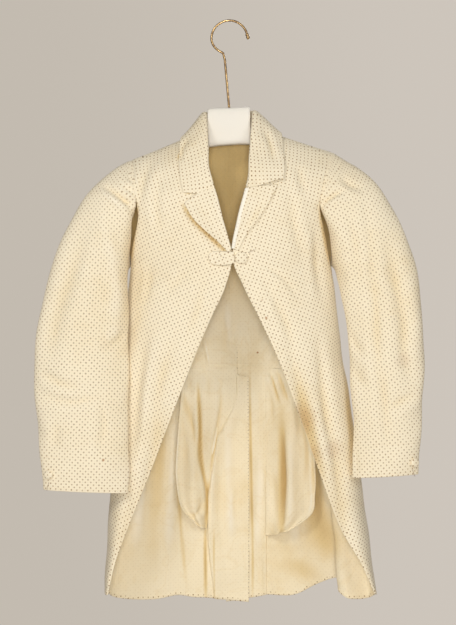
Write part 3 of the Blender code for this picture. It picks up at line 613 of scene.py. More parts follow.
# %% [markdown]
# Soft creases make a surface look like cloth. Each one is a line of a few points, in millimetres as seen
# from the front, with a width, a depth and a lean. Its profile is a trough, the bell curve
# exp(-(s/width)^2) of the distance s from the line, with a ridge of the same shape beside it on the side
# that it leans to. It fades at both ends. A sculpting brush could make these too, but a table can be read
# and corrected.

# %% Creases
CREASE_SAMPLES = 36
CREASE_STRENGTH = 2.1  # one number for all the depths in the tables
WAVES = ((0.031, 0.049, 0.3), (-0.052, 0.027, 1.9), (0.018, -0.067, 4.1))  # two rates per millimetre, a phase


def creases(table, x, z):
    """How far the creases push each point out, in millimetres: less than 0 is into the cloth."""
    push = np.zeros(np.shape(x))
    for width, depth, lean, *places in table:
        line = np.array(places, float)
        reach = np.concatenate([[0], np.cumsum(np.linalg.norm(np.diff(line, axis=0), axis=1))])
        samples = through(reach, line, np.linspace(0, reach[-1], CREASE_SAMPLES))
        half_step = reach[-1] / (CREASE_SAMPLES - 1) / 2
        tangent = unit(np.gradient(samples, axis=0))
        gap_x, gap_z = x[..., None] - samples[:, 0], z[..., None] - samples[:, 1]
        nearest = np.argmin(gap_x**2 + gap_z**2, axis=-1)[..., None]
        gap_x = np.take_along_axis(gap_x, nearest, -1)[..., 0]
        gap_z = np.take_along_axis(gap_z, nearest, -1)[..., 0]
        way = tangent[nearest[..., 0]]
        aside = gap_x * way[..., 1] - gap_z * way[..., 0]
        ahead = np.maximum(np.abs(gap_x * way[..., 0] + gap_z * way[..., 1]) - half_step, 0)
        beside = np.sign(aside) * np.hypot(aside, ahead)
        fade = np.sin(math.pi * (nearest[..., 0] + 0.5) / CREASE_SAMPLES) ** 0.8
        trough = np.exp(-((beside / width) ** 2))
        ridge = np.exp(-(((beside - math.copysign(1.7 * width, lean)) / (1.1 * width)) ** 2))
        push += CREASE_STRENGTH * depth * fade * (abs(lean) * ridge - trough)
    return push


def billow(x, z, depth, seed):
    """Slow unevenness, as in any hanging cloth: the mean of three sine waves that cross at odd angles."""
    waves = [np.sin(a * x + b * z + phase + seed * (k + 1)) for k, (a, b, phase) in enumerate(WAVES)]
    return depth * sum(waves) / len(waves)


def seam_groove(distance, depth=0.7, width=3.0):
    """A seam draws the cloth in: a narrow bell curve of the distance from it, all in millimetres."""
    return -depth * np.exp(-((distance / width) ** 2))


def pucker(along_seam, distance, depth):
    """Hand sewing gathers the cloth: short waves of uneven length along a seam, gone 10 mm away from it."""
    return depth * np.sin(along_seam / 1.9 + 2.2 * np.sin(along_seam / 23)) * np.exp(-((distance / 6) ** 2))

# %% [markdown]
# The print has to follow the cloth, so each piece gets a UV map in metres of real cloth. The steps between
# grid points are measured along the grain and across it, and summed along each row from one chosen column.
# On a panel that bends in one direction only, as cloth does, this is exact. Unwrapping would scale every
# piece differently.

# %% Lengths along the cloth


def cloth_lengths(points, direction, grain, column):
    """u and v of each grid point in metres: running sums of the steps across the grain and along it."""
    upward = unit(grain - (grain * direction).sum(-1, keepdims=True) * direction)
    sideways = np.cross(upward, direction)
    lengths = []
    for axis in (sideways, upward):
        by_row = (np.diff(points, axis=1) * (axis[:, 1:] + axis[:, :-1]) / 2).sum(-1)
        by_column = (np.diff(points[:, column], axis=0) * (axis[1:, column] + axis[:-1, column]) / 2).sum(-1)
        row = np.concatenate([np.zeros((len(points), 1)), np.cumsum(by_row, axis=1)], axis=1)
        down = np.concatenate([[0], np.cumsum(by_column)])
        lengths.append(row - row[:, column : column + 1] + down[:, None])
    return np.stack(lengths, axis=-1) * MM


def flat_size(points):
    """The cut's width, length and area: its longest row, its longest column, its triangles, in metres."""
    across = np.linalg.norm(np.diff(points, axis=1), axis=-1).sum(1).max() * MM
    down = np.linalg.norm(np.diff(points, axis=0), axis=-1).sum(0).max() * MM
    a, b, c, d = points[:-1, :-1], points[:-1, 1:], points[1:, 1:], points[1:, :-1]
    area = sum(np.linalg.norm(np.cross(p - a, c - a), axis=-1).sum() for p in (b, d)) / 2 * MM * MM
    return across, down, area

# %% [markdown]
# A piece of cloth is a thin closed wall round its middle surface: the outer face, the inner face, and a
# rounded edge between them. The Solidify modifier could make it from a single sheet, but a wall built from
# arrays keeps the UV map and puts the outer face, which is printed, and the inner face, which is plain, in
# materials of their own. It also keeps for each point how much painted shade it gets, mostly from how deep
# it lies in a hollow; below 0 it gets a painted highlight.

# %% A wall of cloth
WALL = 1.2  # millimetres: light cotton, with what is turned under at its edges
FAR = 1000.0  # a distance in millimetres that means no edge here
HEM_WIDTH, ALLOWANCE = 5.0, 8.0  # the turned hem, and what a seam leaves inside on each side
TURNED = 0.7  # how far both stand off the inside


def new_object(name, vertices, faces, materials, slots=None, uv=None):
    """A mesh from arrays in millimetres: vertices, faces, a slot for each face, a UV for each corner."""
    mesh = bpy.data.meshes.new(name)
    mesh.from_pydata((np.asarray(vertices) * MM).tolist(), [], [list(face) for face in faces])
    for material in materials:
        mesh.materials.append(material)
    if slots is not None:
        mesh.polygons.foreach_set("material_index", np.asarray(slots, np.int32))
    if uv is not None:
        mesh.uv_layers.new(name="UVMap").data.foreach_set("uv", np.asarray(uv, np.float32).ravel())
    mesh.shade_smooth()
    mesh.update()
    item = bpy.data.objects.new(name, mesh)
    bpy.context.scene.collection.objects.link(item)
    return item


def quads_of(number):
    """The four vertices of each cell of a grid of vertex numbers, in order round it."""
    corners = number[:-1, :-1], number[:-1, 1:], number[1:, 1:], number[1:, :-1]
    return np.stack([corner.ravel() for corner in corners], axis=-1)


def rims(rows, columns, tube):
    """The grid's free edges as loops of rows and columns: two rings of a tube, or once round a panel."""
    across, down = np.arange(columns), np.arange(rows)
    if tube:
        return [np.stack([np.full(columns, row), across]) for row in (0, rows - 1)]
    edge_rows = np.concatenate([np.zeros(columns), down[1:], np.full(columns - 1, rows - 1), down[-2::-1]])
    last, first = np.full(rows - 1, columns - 1), np.zeros(rows - 1)
    edge_columns = np.concatenate([across, last, across[-2::-1], first])
    return [np.stack([edge_rows, edge_columns]).astype(int)]


def cloth(name, points, direction, materials, wall=WALL, tube=False, grain=UP, column=None, hem=None,
          allowance=None, hollow=None):
    """A closed wall round a grid: its middle plus and minus direction * wall / 2, and a rounded rim.

    Inside, it is thicker within a hem's or a seam allowance's width of an edge. On a tube the grid's last
    column repeats the first, so that the map has a seam and the mesh has none. Two attributes go to the
    materials: edge, the distance from the hem, and the painted shade of each face, mostly how deep a point
    lies seen from that face; below 0 it is a painted highlight.
    """
    rows, columns = points.shape[:2]
    nowhere = np.full((rows, columns), FAR)
    hem, allowance = (nowhere if distance is None else distance for distance in (hem, allowance))
    outside, inside = (nowhere * 0,) * 2 if hollow is None else hollow
    turned = ease(HEM_WIDTH + 0.7, HEM_WIDTH - 0.7, hem)
    turned = np.maximum(turned, ease(ALLOWANCE + 0.8, ALLOWANCE - 0.8, allowance))
    number = np.arange(rows * columns).reshape(rows, columns)
    kept = columns - 1 if tube else columns
    real = np.arange(rows * kept).reshape(rows, kept)
    real = np.concatenate([real, real[:, :1]], axis=1) if tube else real
    column = columns // 2 if column is None else column
    lengths = cloth_lengths(points, direction, np.broadcast_to(grain, points.shape), column).reshape(-1, 2)
    inner = -wall / 2 - TURNED * turned[..., None]
    vertices = [(points + direction * shift)[:, :kept].reshape(-1, 3) for shift in (wall / 2, inner)]
    edge = [hem[:, :kept].ravel()] * 2
    hollow = [outside[:, :kept].ravel(), inside[:, :kept].ravel()]
    quads = quads_of(number)
    wound = np.cross(points[0, 1] - points[0, 0], points[1, 1] - points[0, 0]) @ direction[0, 0]
    quads = quads if wound > 0 else quads[:, ::-1]
    faces = [real.ravel()[quads], real.ravel()[quads[:, ::-1]] + rows * kept]
    corners = [lengths[quads], lengths[quads[:, ::-1]]]
    slots = [np.zeros(len(quads)), np.ones(len(quads))]
    start = 2 * rows * kept
    for i, j in rims(rows, columns, tube):
        inner_i, inner_j = np.clip(i, 1, rows - 2), j if tube else np.clip(j, 1, columns - 2)
        middle = points[i, j] + unit(points[i, j] - points[inner_i, inner_j]) * wall / 2
        vertices.append(middle[:-1])
        edge.append(hem[i, j][:-1])
        hollow.append(np.zeros(len(i) - 1))
        here = np.arange(len(i) - 1)
        ring = start + np.append(here, 0)
        start += len(i) - 1
        edge_lengths = lengths[number[i, j]]
        for first, second in ((real[i, j], ring), (ring, real[i, j] + rows * kept)):
            faces.append(np.stack([first[:-1], first[1:], second[1:], second[:-1]], axis=-1))
            corners.append(edge_lengths[np.stack([here, here + 1, here + 1, here], axis=-1)])
            slots.append(np.zeros(len(i) - 1))
    item = new_object(name, np.concatenate(vertices), np.concatenate(faces), materials,
                      np.concatenate(slots), np.concatenate(corners))
    turn_out(item)
    for label, values in (("edge", edge), ("hollow", hollow)):
        marks = item.data.attributes.new(label, "FLOAT", "POINT")
        marks.data.foreach_set("value", np.concatenate(values).astype(np.float32) * MM)
    item["flat"] = flat_size(points)
    return item


def turn_out(item):
    """The rim's faces turned to agree with the rest, so that all of them point out."""
    edit = bmesh.new()
    edit.from_mesh(item.data)
    bmesh.ops.recalc_face_normals(edit, faces=edit.faces)
    edit.to_mesh(item.data)
    edit.free()


def stand_for(item, solid):
    """The piece rides on the one body and stands for its solid, which is hidden."""
    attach(item, "root")
    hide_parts(solid)


def dress(item, solid):
    """A piece of cloth stands for its solid, and the flat size that cloth() kept on it is dropped."""
    stand_for(item, solid)
    del item["flat"]

# %% [markdown]
# The lines that stitches follow are read off the panels' own points: at a set distance from an edge, or at
# places chosen as seen from the front. A stitch is a pad of six points, and all of one kind are one
# mesh.

# %% Stitches
PAD = np.array([(1, 0, 0), (-1, 0, 0), (0, 1, 0), (0, -1, 0), (0, 0, 1), (0, 0, -0.6)], float)
PAD_FACES = np.array([(0, 2, 4), (2, 1, 4), (1, 3, 4), (3, 0, 4), (2, 0, 5), (1, 2, 5), (3, 1, 5), (0, 3, 5)])


def line_beside(grid, distance):
    """The points and directions at a distance in millimetres along each row from its first place."""
    points, direction = grid
    fields = np.concatenate([points, direction], axis=-1)
    read = [[np.interp(distance, at, part) for part in row.T] for at, row in zip(reach(points, 1), fields)]
    read = np.array(read)
    return read[:, :3], unit(read[:, 3:])


def on_grid(grid, places, inside=False):
    """A line of places (x, z) put on the cloth that faces the front: the nearest vertex's plane gives y."""
    points, direction = (field.reshape(-1, 3) for field in grid)
    direction = -direction if inside else direction
    points, direction = points[direction[:, 1] < -0.05], direction[direction[:, 1] < -0.05]
    line = np.array(places, float)
    length = np.concatenate([[0], np.cumsum(np.linalg.norm(np.diff(line, axis=0), axis=1))])
    x, z = through(length, line, np.linspace(0, length[-1], max(int(length[-1] / 1.5), 3))).T
    nearest = np.argmin(np.hypot(points[:, 0] - x[:, None], points[:, 2] - z[:, None]), axis=1)
    base, out = points[nearest], direction[nearest]
    y = base[:, 1] - ((x - base[:, 0]) * out[:, 0] + (z - base[:, 2]) * out[:, 2]) / out[:, 1]
    return np.stack([x, y, z], axis=-1), out


def evenly(points, direction, spacing):
    """A line of points and directions read at even steps along it."""
    reach = np.concatenate([[0], np.cumsum(np.linalg.norm(np.diff(points, axis=0), axis=1))])
    at = np.arange(spacing / 2, reach[-1], spacing)
    read = [np.stack([np.interp(at, reach, part) for part in field.T], -1) for field in (points, direction)]
    return read[0], unit(read[1])


def stitches(name, lines, material, spacing=3.2, length=2.0, width=0.55, height=0.35, lift=WALL / 2):
    """Rows of small pads: each one long along its line, low, and lifted to lie on the cloth's face."""
    pads = []
    for points, direction in lines:
        centre, out = evenly(points, direction, spacing)
        way = unit(np.gradient(centre, axis=0))
        side = np.cross(out, way)
        axes = np.stack([way * length / 2, side * width / 2, out * height], axis=1)
        pads.append(centre[:, None] + out[:, None] * lift + np.einsum("pk,nkc->npc", PAD, axes))
    pads = np.concatenate(pads)
    faces = PAD_FACES[None] + len(PAD) * np.arange(len(pads))[:, None, None]
    item = new_object(name, pads.reshape(-1, 3), faces.reshape(-1, 3), [material])
    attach(item, "root")
    print(name, len(faces), "stitches")

# %% [markdown]
# Materials are small networks of nodes. What more than one of them uses is a node group: the dots of the
# print, the weave, and the yellowing of old cotton. Each puts out only masks and heights. They read the UV
# map, which is in metres of cloth, or Object coordinates for what has nothing to do with the cloth's
# direction.

# %% Node helpers


def node(tree, kind, settings=None, inputs=None):
    """A new node with its settings, and its inputs given as values or as sockets to link."""
    made = tree.nodes.new(kind)
    for key, value in (settings or {}).items():
        setattr(made, key, value)
    for key, value in (inputs or {}).items():
        if isinstance(value, bpy.types.NodeSocket):
            tree.links.new(value, made.inputs[key])
        else:
            made.inputs[key].default_value = value
    return made


def math_node(tree, operation, *values):
    """The result of one sum on sockets or numbers."""
    return node(tree, "ShaderNodeMath", {"operation": operation}, dict(enumerate(values))).outputs[0]


def vector_node(tree, operation, *values):
    """The result of one sum on vectors; LENGTH gives a number."""
    made = node(tree, "ShaderNodeVectorMath", {"operation": operation}, dict(enumerate(values)))
    return made.outputs["Value" if operation == "LENGTH" else "Vector"]


def smooth_range(tree, value, low, high, to_low=0.0, to_high=1.0):
    """A value carried smoothly from one range to another."""
    inputs = {"Value": value, "From Min": low, "From Max": high, "To Min": to_low, "To Max": to_high}
    return node(tree, "ShaderNodeMapRange", {"interpolation_type": "SMOOTHSTEP"}, inputs).outputs["Result"]


def blend_colors(tree, mask, first, second):
    """Two colours mixed by a mask."""
    made = node(tree, "ShaderNodeMix", {"data_type": "RGBA"})
    for socket, value in (("Factor_Float", mask), ("A_Color", first), ("B_Color", second)):
        target = next(s for s in made.inputs if s.identifier == socket)
        if isinstance(value, bpy.types.NodeSocket):
            tree.links.new(value, target)
        else:
            target.default_value = value
    return next(s for s in made.outputs if s.identifier == "Result_Color")


def noise_of(tree, place, scale, detail, **more):
    """Fractal noise over a place."""
    return node(tree, "ShaderNodeTexNoise", {}, {"Vector": place, "Scale": scale, "Detail": detail, **more})


def new_group(name, outputs):
    """A shader node group: the input is a place, called Vector, and the named outputs are numbers."""
    tree = bpy.data.node_groups.new(name, "ShaderNodeTree")
    tree.interface.new_socket("Vector", in_out="INPUT", socket_type="NodeSocketVector")
    for label in outputs:
        tree.interface.new_socket(label, in_out="OUTPUT", socket_type="NodeSocketFloat")
    place = tree.nodes.new("NodeGroupInput").outputs["Vector"]
    return tree, place, tree.nodes.new("NodeGroupOutput")


def place_group(tree, group, inputs):
    """A group placed in a material, with its inputs."""
    return node(tree, "ShaderNodeGroup", {"node_tree": group}, inputs)

# %% [markdown]
# The dots lie in rows 4.9 mm apart, every second row shifted by half a step, so they make two lattices of
# the same cell, one in the middle of the other. In each, a dot is where the distance from the cell's middle
# is small. Two more lattices, half way between those, hold faint pin dots. A texture image would be
# simpler, but it would fix the resolution and need an unwrapped map.

# %% Dots of the print
DOT_CELL = (0.0097, 0.0097, 1.0)  # metres: one dot at its corners and one in its middle
DOT_RADIUS = 0.00104
PIN_RADIUS = 0.00062  # faint pin dots stand half way between the dots
DOT_WANDER = 0.0013  # how far a block-printed dot strays from its place


def make_dots():
    """Masks of the dots, worn unevenly, and of the pale brown round each, where the colour ran."""
    tree, given, result = new_group("dots of the print", ("Mask", "Halo"))
    stray = noise_of(tree, given, 110.0, 2.0).outputs["Color"]
    stray = vector_node(tree, "SUBTRACT", stray, (0.5, 0.5, 0.5))
    stray = vector_node(tree, "MULTIPLY", stray, (DOT_WANDER * 2, DOT_WANDER * 2, 0))
    place = vector_node(tree, "MULTIPLY", vector_node(tree, "ADD", given, stray), (1, 1, 0))
    half_x, half_y = DOT_CELL[0] / 2, DOT_CELL[1] / 2
    distances = []
    for shifts in (((0, 0, 0), (half_x, half_y, 0)), ((half_x, 0, 0), (0, half_y, 0))):
        near = []
        for shift in shifts:
            cell = vector_node(tree, "DIVIDE", vector_node(tree, "ADD", place, shift), DOT_CELL)
            inside = vector_node(tree, "SUBTRACT", vector_node(tree, "FRACTION", cell), (0.5, 0.5, 0))
            near.append(vector_node(tree, "LENGTH", vector_node(tree, "MULTIPLY", inside, DOT_CELL)))
        distances.append(math_node(tree, "MINIMUM", *near))
    distance, to_pin = distances
    dot = math_node(tree, "MAXIMUM", smooth_range(tree, distance, DOT_RADIUS * 1.15, DOT_RADIUS * 0.85),
                    smooth_range(tree, to_pin, PIN_RADIUS * 1.3, PIN_RADIUS * 0.7, 0.0, 0.35))
    wear_and_highlight = noise_of(tree, given, 75.0, 3.0).outputs["Fac"]
    strength = smooth_range(tree, wear_and_highlight, 0.3, 0.62, 0.6, 1.0)
    tree.links.new(math_node(tree, "MULTIPLY", dot, strength), result.inputs["Mask"])
    tree.links.new(smooth_range(tree, distance, DOT_RADIUS * 2.4, DOT_RADIUS * 0.8), result.inputs["Halo"])
    return tree

# %% [markdown]
# A plain weave is a chequer of threads that go over and under: sin(u) * sin(v) at the threads' spacing.
# Real threads are uneven, so a noise stretched along each of the two directions thickens some of them. It
# is far smaller than a pixel of the picture, and shows only close by, but it also breaks up the highlights.

# %% Weave and age
THREAD = 0.0009  # metres from thread to thread, and back


def make_weave():
    """The height of the threads' chequer, and the slubs: the threads that are thicker than others."""
    tree, given, result = new_group("plain weave", ("Height", "Slubs"))
    turns = vector_node(tree, "MULTIPLY", given, (2 * math.pi / THREAD,) * 3)
    split = node(tree, "ShaderNodeSeparateXYZ", {}, {"Vector": vector_node(tree, "SINE", turns)})
    chequer = math_node(tree, "MULTIPLY", split.outputs["X"], split.outputs["Y"])
    slubs = []
    for stretch in ((25.0, 900.0, 1.0), (900.0, 25.0, 1.0)):
        place = vector_node(tree, "MULTIPLY", given, stretch)
        slubs.append(noise_of(tree, place, 1.0, 2.0).outputs["Fac"])
    slub = math_node(tree, "MULTIPLY", math_node(tree, "ADD", *slubs), 0.5)
    height = math_node(tree, "MULTIPLY_ADD", chequer, 0.25, slub)
    tree.links.new(height, result.inputs["Height"])
    tree.links.new(slub, result.inputs["Slubs"])
    return tree


def make_age():
    """Yellowing: broad soft clouds, broken by finer ones, both of fractal noise over Object coordinates."""
    tree, given, result = new_group("yellowing", ("Mask",))
    broad = noise_of(tree, given, 7.0, 5.0).outputs["Fac"]
    fine = noise_of(tree, given, 42.0, 4.0).outputs["Fac"]
    broad = smooth_range(tree, broad, 0.42, 0.72)
    fine = smooth_range(tree, fine, 0.35, 0.75, 0.4, 1.0)
    tree.links.new(math_node(tree, "MULTIPLY", broad, fine), result.inputs["Mask"])
    return tree

# %% [markdown]
# The printed side carries the dots, the weave and the stains that the coat has: rusty specks on its left
# front, a brown spot on the right cuff and soft yellow-brown clouds low on the left front. A stain is a
# ball round a point of the cloth, drawn out in depth, with its edge broken by noise. Hollows are painted
# darker gold as shade, and ridges are painted pale as highlight and lose their dots. The plain inside is
# painted darker gold toward the neck as shade, is more golden toward the hem, and has faint lines of
# painted shade where pressed wrinkles lie. The Principled shader's sheen gives the pale fuzz of worn cotton.

# %% Printed and plain cotton
CREAM = (0.915, 0.825, 0.640, 1)
# The plain side is paler than the printed ground: painted light, for the light that comes through the thin
# cloth
CREAM_PLAIN_LIT = (0.95, 0.87, 0.680, 1)
PRINT_BROWN = (0.17, 0.066, 0.018, 1)
# Gold for both the real yellowing of old cotton and the painted shade in hollows; then a deep gold of painted
# shade for deep hollows, and a pale cream of painted highlight for ridges and rims
AGED_AND_SHADE_GOLD = (0.74, 0.56, 0.27, 1)
DEEP_SHADE_GOLD = (0.46, 0.27, 0.08, 1)
HIGHLIGHT_PALE = (0.97, 0.93, 0.82, 1)
FULL_SHADE_DEPTH = 0.007  # metres: a hollow this deep gets the full painted shade, and a ridge this high the full painted highlight
# Painted shade high inside the back, where the collar and the hanger keep the light out
NECK_SHADE = (0.70, 0.50, 0.19, 1)
STAIN_BROWN = (0.42, 0.20, 0.07, 1)
# Between these heights, in metres, the inside is painted darker gold toward the neck as shade, and is more
# golden toward the hem
NECK_SHADE_HEIGHTS, HEM_YELLOW = (-0.58, -0.36), (-0.62, -0.78)
# How uneven the cloth looks where that is too fine to be modelled, in metres: the print and the plain cloth
RUMPLE, PLAIN_RUMPLE = 0.0025, 0.0075
# columns: x, y, z, radius, strength; metres
STAINS = (
    (0.065, -0.084, -0.539, 0.0035, 0.9),
    (0.058, -0.085, -0.507, 0.0022, 0.7),
    (0.072, -0.083, -0.553, 0.0020, 0.6),
    (-0.224, -0.084, -0.791, 0.0030, 0.9),
    (0.125, -0.075, -0.720, 0.034, 0.32),
    (0.143, -0.073, -0.783, 0.026, 0.30),
    (0.187, -0.066, -0.774, 0.022, 0.22),
    (0.310, -0.075, -0.614, 0.018, 0.16),
)
INSIDE_STAINS = ((0.0524, 0.077, -0.6039, 0.0022, 1.0),)
STAIN_SHAPE = (1.0, 0.3, 1.0)  # a stain is drawn out in depth, so that it surely meets the cloth
dots, weave, age = make_dots(), make_weave(), make_age()


def new_material(name, roughness, sheen=0.0, metallic=0.0):
    """A material and its tree and shader, with the plain values set on the shader's own sockets."""
    material = bpy.data.materials.new(name)
    material.use_nodes = True
    shader = material.node_tree.nodes["Principled BSDF"]
    shader.inputs["Roughness"].default_value = roughness
    shader.inputs["Metallic"].default_value = metallic
    shader.inputs["Sheen Weight"].default_value = sheen
    shader.inputs["Sheen Roughness"].default_value = 0.45
    shader.inputs["Specular IOR Level"].default_value = 0.25 if metallic == 0.0 else 0.5
    return material, material.node_tree, shader


def cotton(name, cream, dot_strength, stains, inside=False):
    """Cotton: cream, yellowed by age, with painted shade in its hollows and painted highlight on its ridges,
    and the dots strong outside and faint where they show through.
    """
    material, tree, shader = new_material(name, 0.88, sheen=0.15)
    cloth_place = node(tree, "ShaderNodeUVMap", {"uv_map": "UVMap"}).outputs["UV"]
    place = node(tree, "ShaderNodeTexCoord").outputs["Object"]
    clouds = place_group(tree, age, {"Vector": place}).outputs["Mask"]
    threads = place_group(tree, weave, {"Vector": cloth_place})
    print_dots = place_group(tree, dots, {"Vector": cloth_place})
    mask, halo = print_dots.outputs["Mask"], print_dots.outputs["Halo"]
    if inside:
        turned_in = node(tree, "ShaderNodeAttribute", {"attribute_name": "edge"}).outputs["Fac"]
        at_hem = smooth_range(tree, turned_in, HEM_WIDTH * MM * 1.1, HEM_WIDTH * MM * 0.9)
        dot_strength = smooth_range(tree, at_hem, 0.0, 1.0, dot_strength, 0.92)
    color = blend_colors(tree, math_node(tree, "MULTIPLY", clouds, 0.45 if inside else 0.30), cream, AGED_AND_SHADE_GOLD)
    slubs = smooth_range(tree, threads.outputs["Slubs"], 0.35, 0.65, 0.0, 0.10)
    color = blend_colors(tree, slubs, color, AGED_AND_SHADE_GOLD)
    # Painted shade: gold in hollows and deep gold in deep ones; painted highlight: pale, with fewer dots, on
    # ridges and rims
    hollow = node(tree, "ShaderNodeAttribute", {"attribute_name": "hollow"}).outputs["Fac"]
    color = blend_colors(tree, smooth_range(tree, hollow, 0.0, FULL_SHADE_DEPTH, 0.0, 0.8), color, AGED_AND_SHADE_GOLD)
    deep = smooth_range(tree, hollow, FULL_SHADE_DEPTH * 0.8, FULL_SHADE_DEPTH * 1.8, 0.0, 0.85)
    color = blend_colors(tree, deep, color, DEEP_SHADE_GOLD)
    highlighted = smooth_range(tree, hollow, 0.0, -FULL_SHADE_DEPTH, 0.0, 0.8)
    color = blend_colors(tree, highlighted, color, HIGHLIGHT_PALE)
    dot_strength = math_node(tree, "MULTIPLY", dot_strength, math_node(tree, "SUBTRACT", 1.0, highlighted))
    if inside:
        # Faint lines of painted shade where pressed wrinkles lie
        wrinkle_shade = noise_of(tree, place, 13.0, 2.0, Distortion=1.6).outputs["Fac"]
        from_wrinkle = math_node(tree, "ABSOLUTE", math_node(tree, "SUBTRACT", wrinkle_shade, 0.5))
        color = blend_colors(tree, smooth_range(tree, from_wrinkle, 0.03, 0.0, 0.0, 0.15), color, AGED_AND_SHADE_GOLD)
        # Painted shade high inside, under the collar and the hanger, then a more golden tone toward the hem
        height = node(tree, "ShaderNodeSeparateXYZ", {}, {"Vector": place}).outputs["Z"]
        color = blend_colors(tree, smooth_range(tree, height, *NECK_SHADE_HEIGHTS, 0.0, 0.85), color, NECK_SHADE)
        color = blend_colors(tree, smooth_range(tree, height, *HEM_YELLOW, 0.0, 0.24), color, AGED_AND_SHADE_GOLD)
    broken = math_node(tree, "SUBTRACT", noise_of(tree, place, 160.0, 3.0).outputs["Fac"], 0.5)
    for x, y, z, radius, strength in stains:
        offset = vector_node(tree, "SUBTRACT", place, (x, y, z))
        distance = vector_node(tree, "LENGTH", vector_node(tree, "MULTIPLY", offset, STAIN_SHAPE))
        share = math_node(tree, "ADD", math_node(tree, "DIVIDE", distance, radius), broken)
        color = blend_colors(tree, smooth_range(tree, share, 1.1, 0.3, 0.0, strength), color, STAIN_BROWN)
    spread = math_node(tree, "MULTIPLY", halo, math_node(tree, "MULTIPLY", dot_strength, 0.35))
    color = blend_colors(tree, spread, color, AGED_AND_SHADE_GOLD)
    color = blend_colors(tree, math_node(tree, "MULTIPLY", mask, dot_strength), color, PRINT_BROWN)
    tree.links.new(color, shader.inputs["Base Color"])
    rough = smooth_range(tree, threads.outputs["Slubs"], 0.3, 0.7, 0.82, 0.95)
    tree.links.new(rough, shader.inputs["Roughness"])
    rumple = noise_of(tree, place, 26.0, 5.0, Roughness=0.55).outputs["Fac"]
    bump = node(tree, "ShaderNodeBump", {}, {"Height": rumple, "Strength": 0.5,
                                             "Distance": PLAIN_RUMPLE if inside else RUMPLE})
    bump = node(tree, "ShaderNodeBump", {}, {"Height": threads.outputs["Height"], "Strength": 0.25,
                                             "Distance": 0.0004, "Normal": bump.outputs["Normal"]})
    tree.links.new(bump.outputs["Normal"], shader.inputs["Normal"])
    return material


printed = cotton("printed cotton", CREAM, 0.97, STAINS)
plain = cotton("plain cotton", CREAM_PLAIN_LIT, 0.10, INSIDE_STAINS, inside=True)
covered = cotton("covered button", CREAM, 0.92, ())
print("cotton:", len(printed.node_tree.nodes), "nodes outside,", len(plain.node_tree.nodes), "inside")

# %% White board and brass
board, board_tree, board_shader = new_material("white hanger", 0.42)
board_place = node(board_tree, "ShaderNodeTexCoord").outputs["Object"]
wear_and_highlight = place_group(board_tree, age, {"Vector": board_place}).outputs["Mask"]
wear_and_highlight = math_node(board_tree, "MULTIPLY", wear_and_highlight, 0.35)
board_color = blend_colors(board_tree, wear_and_highlight, (0.84, 0.80, 0.72, 1), (0.78, 0.70, 0.56, 1))
board_tree.links.new(board_color, board_shader.inputs["Base Color"])

brass, brass_tree, brass_shader = new_material("aged brass", 0.36, metallic=1.0)
brass_place = node(brass_tree, "ShaderNodeTexCoord").outputs["Object"]
tarnish = noise_of(brass_tree, brass_place, 120.0, 5.0).outputs["Fac"]
tarnished = smooth_range(brass_tree, tarnish, 0.42, 0.62)
brass_color = blend_colors(brass_tree, tarnished, (0.62, 0.42, 0.20, 1), (0.30, 0.19, 0.10, 1))
brass_tree.links.new(brass_color, brass_shader.inputs["Base Color"])
brass_rough = smooth_range(brass_tree, tarnish, 0.4, 0.65, 0.28, 0.5)
brass_tree.links.new(brass_rough, brass_shader.inputs["Roughness"])

# %% [markdown]
# The fronts are one piece of cloth each, from the shoulder to the hem. They are drawn in a little by the
# seams, and the long soft folds fan out from the button. A draped simulation would give folds of its own
# choosing. Here they are the ones that this coat has, so the tables say where each one runs.

# %% Fronts
SEAM_REACH = 8.0  # millimetres from a seam over which creases fade out, because both sides of it must agree
SWELL = 1.6  # the depth of the slow unevenness, in millimetres
# How far sewing gathers the cloth at seams, at the fronts' edges and at the sleeves' heads
SEAM_PUCKER, EDGE_PUCKER, HEAD_PUCKER = 0.35, 0.15, 0.4
# Under the arm the seam is drawn deep into a fold: the z of its middle, half its length, its depth
ARMPIT = {"right": (-392, 40, 12.0), "left": (-402, 36, 14.0)}
CENTRE = np.array([0.0, 0.0, -600.0])
# columns: width, depth, lean, then places (x, z)
FRONT_CREASES = {"right": (
    (6, 1.6, 0.4, (-142, -440), (-145, -480), (-154, -529)),
    (8, 2, 0.4, (-124, -279), (-131, -329), (-124, -391)),
    (10, 1.8, -0.3, (-83, -338), (-53, -368), (-26, -400), (-3, -418)),
    (5, 1.2, 0.3, (-88, -245), (-88, -261)),
    (9, 1.8, 0.4, (-60, -440), (-88, -472), (-124, -507)),
    (8, 1.6, 0.4, (-44, -450), (-53, -507), (-77, -578)),
    (12, 2.5, 0.4, (-95, -561), (-124, -650), (-142, -756)),
    (10, 2.5, -0.4, (-149, -561), (-163, -667), (-170, -774)),
    (14, 3.5, 0.4, (-115, -685), (-142, -810), (-174, -934)),
    (12, 3, -0.4, (-170, -810), (-184, -899), (-199, -988)),
    (9, 2, 0.4, (-142, -254), (-156, -294), (-163, -338)),
    (4, 1.6, 0, (-88, -338), (-68, -364), (-46, -388), (-22, -411), (-6, -426)),
), "left": (
    (5, 1.4, 0.4, (51, -440), (90, -463), (125, -507)),
    (9, 1.8, 0.4, (58, -463), (90, -525), (118, -596)),
    (9, 2, -0.4, (108, -311), (118, -383), (136, -440)),
    (8, 2, 0.4, (154, -374), (157, -440), (165, -507)),
    (12, 2.4, 0.4, (101, -561), (125, -667), (147, -774)),
    (9, 2.2, -0.4, (157, -561), (168, -667), (179, -774)),
    (13, 3.2, 0.4, (165, -650), (186, -756), (200, -863), (214, -970)),
    (14, 3.2, 0.4, (129, -685), (161, -810), (204, -934)),
    (8, 1.6, 0.4, (125, -267), (133, -320)),
    (4, 1.6, -0.4, (176, -326), (165, -336), (152, -348)),
)}
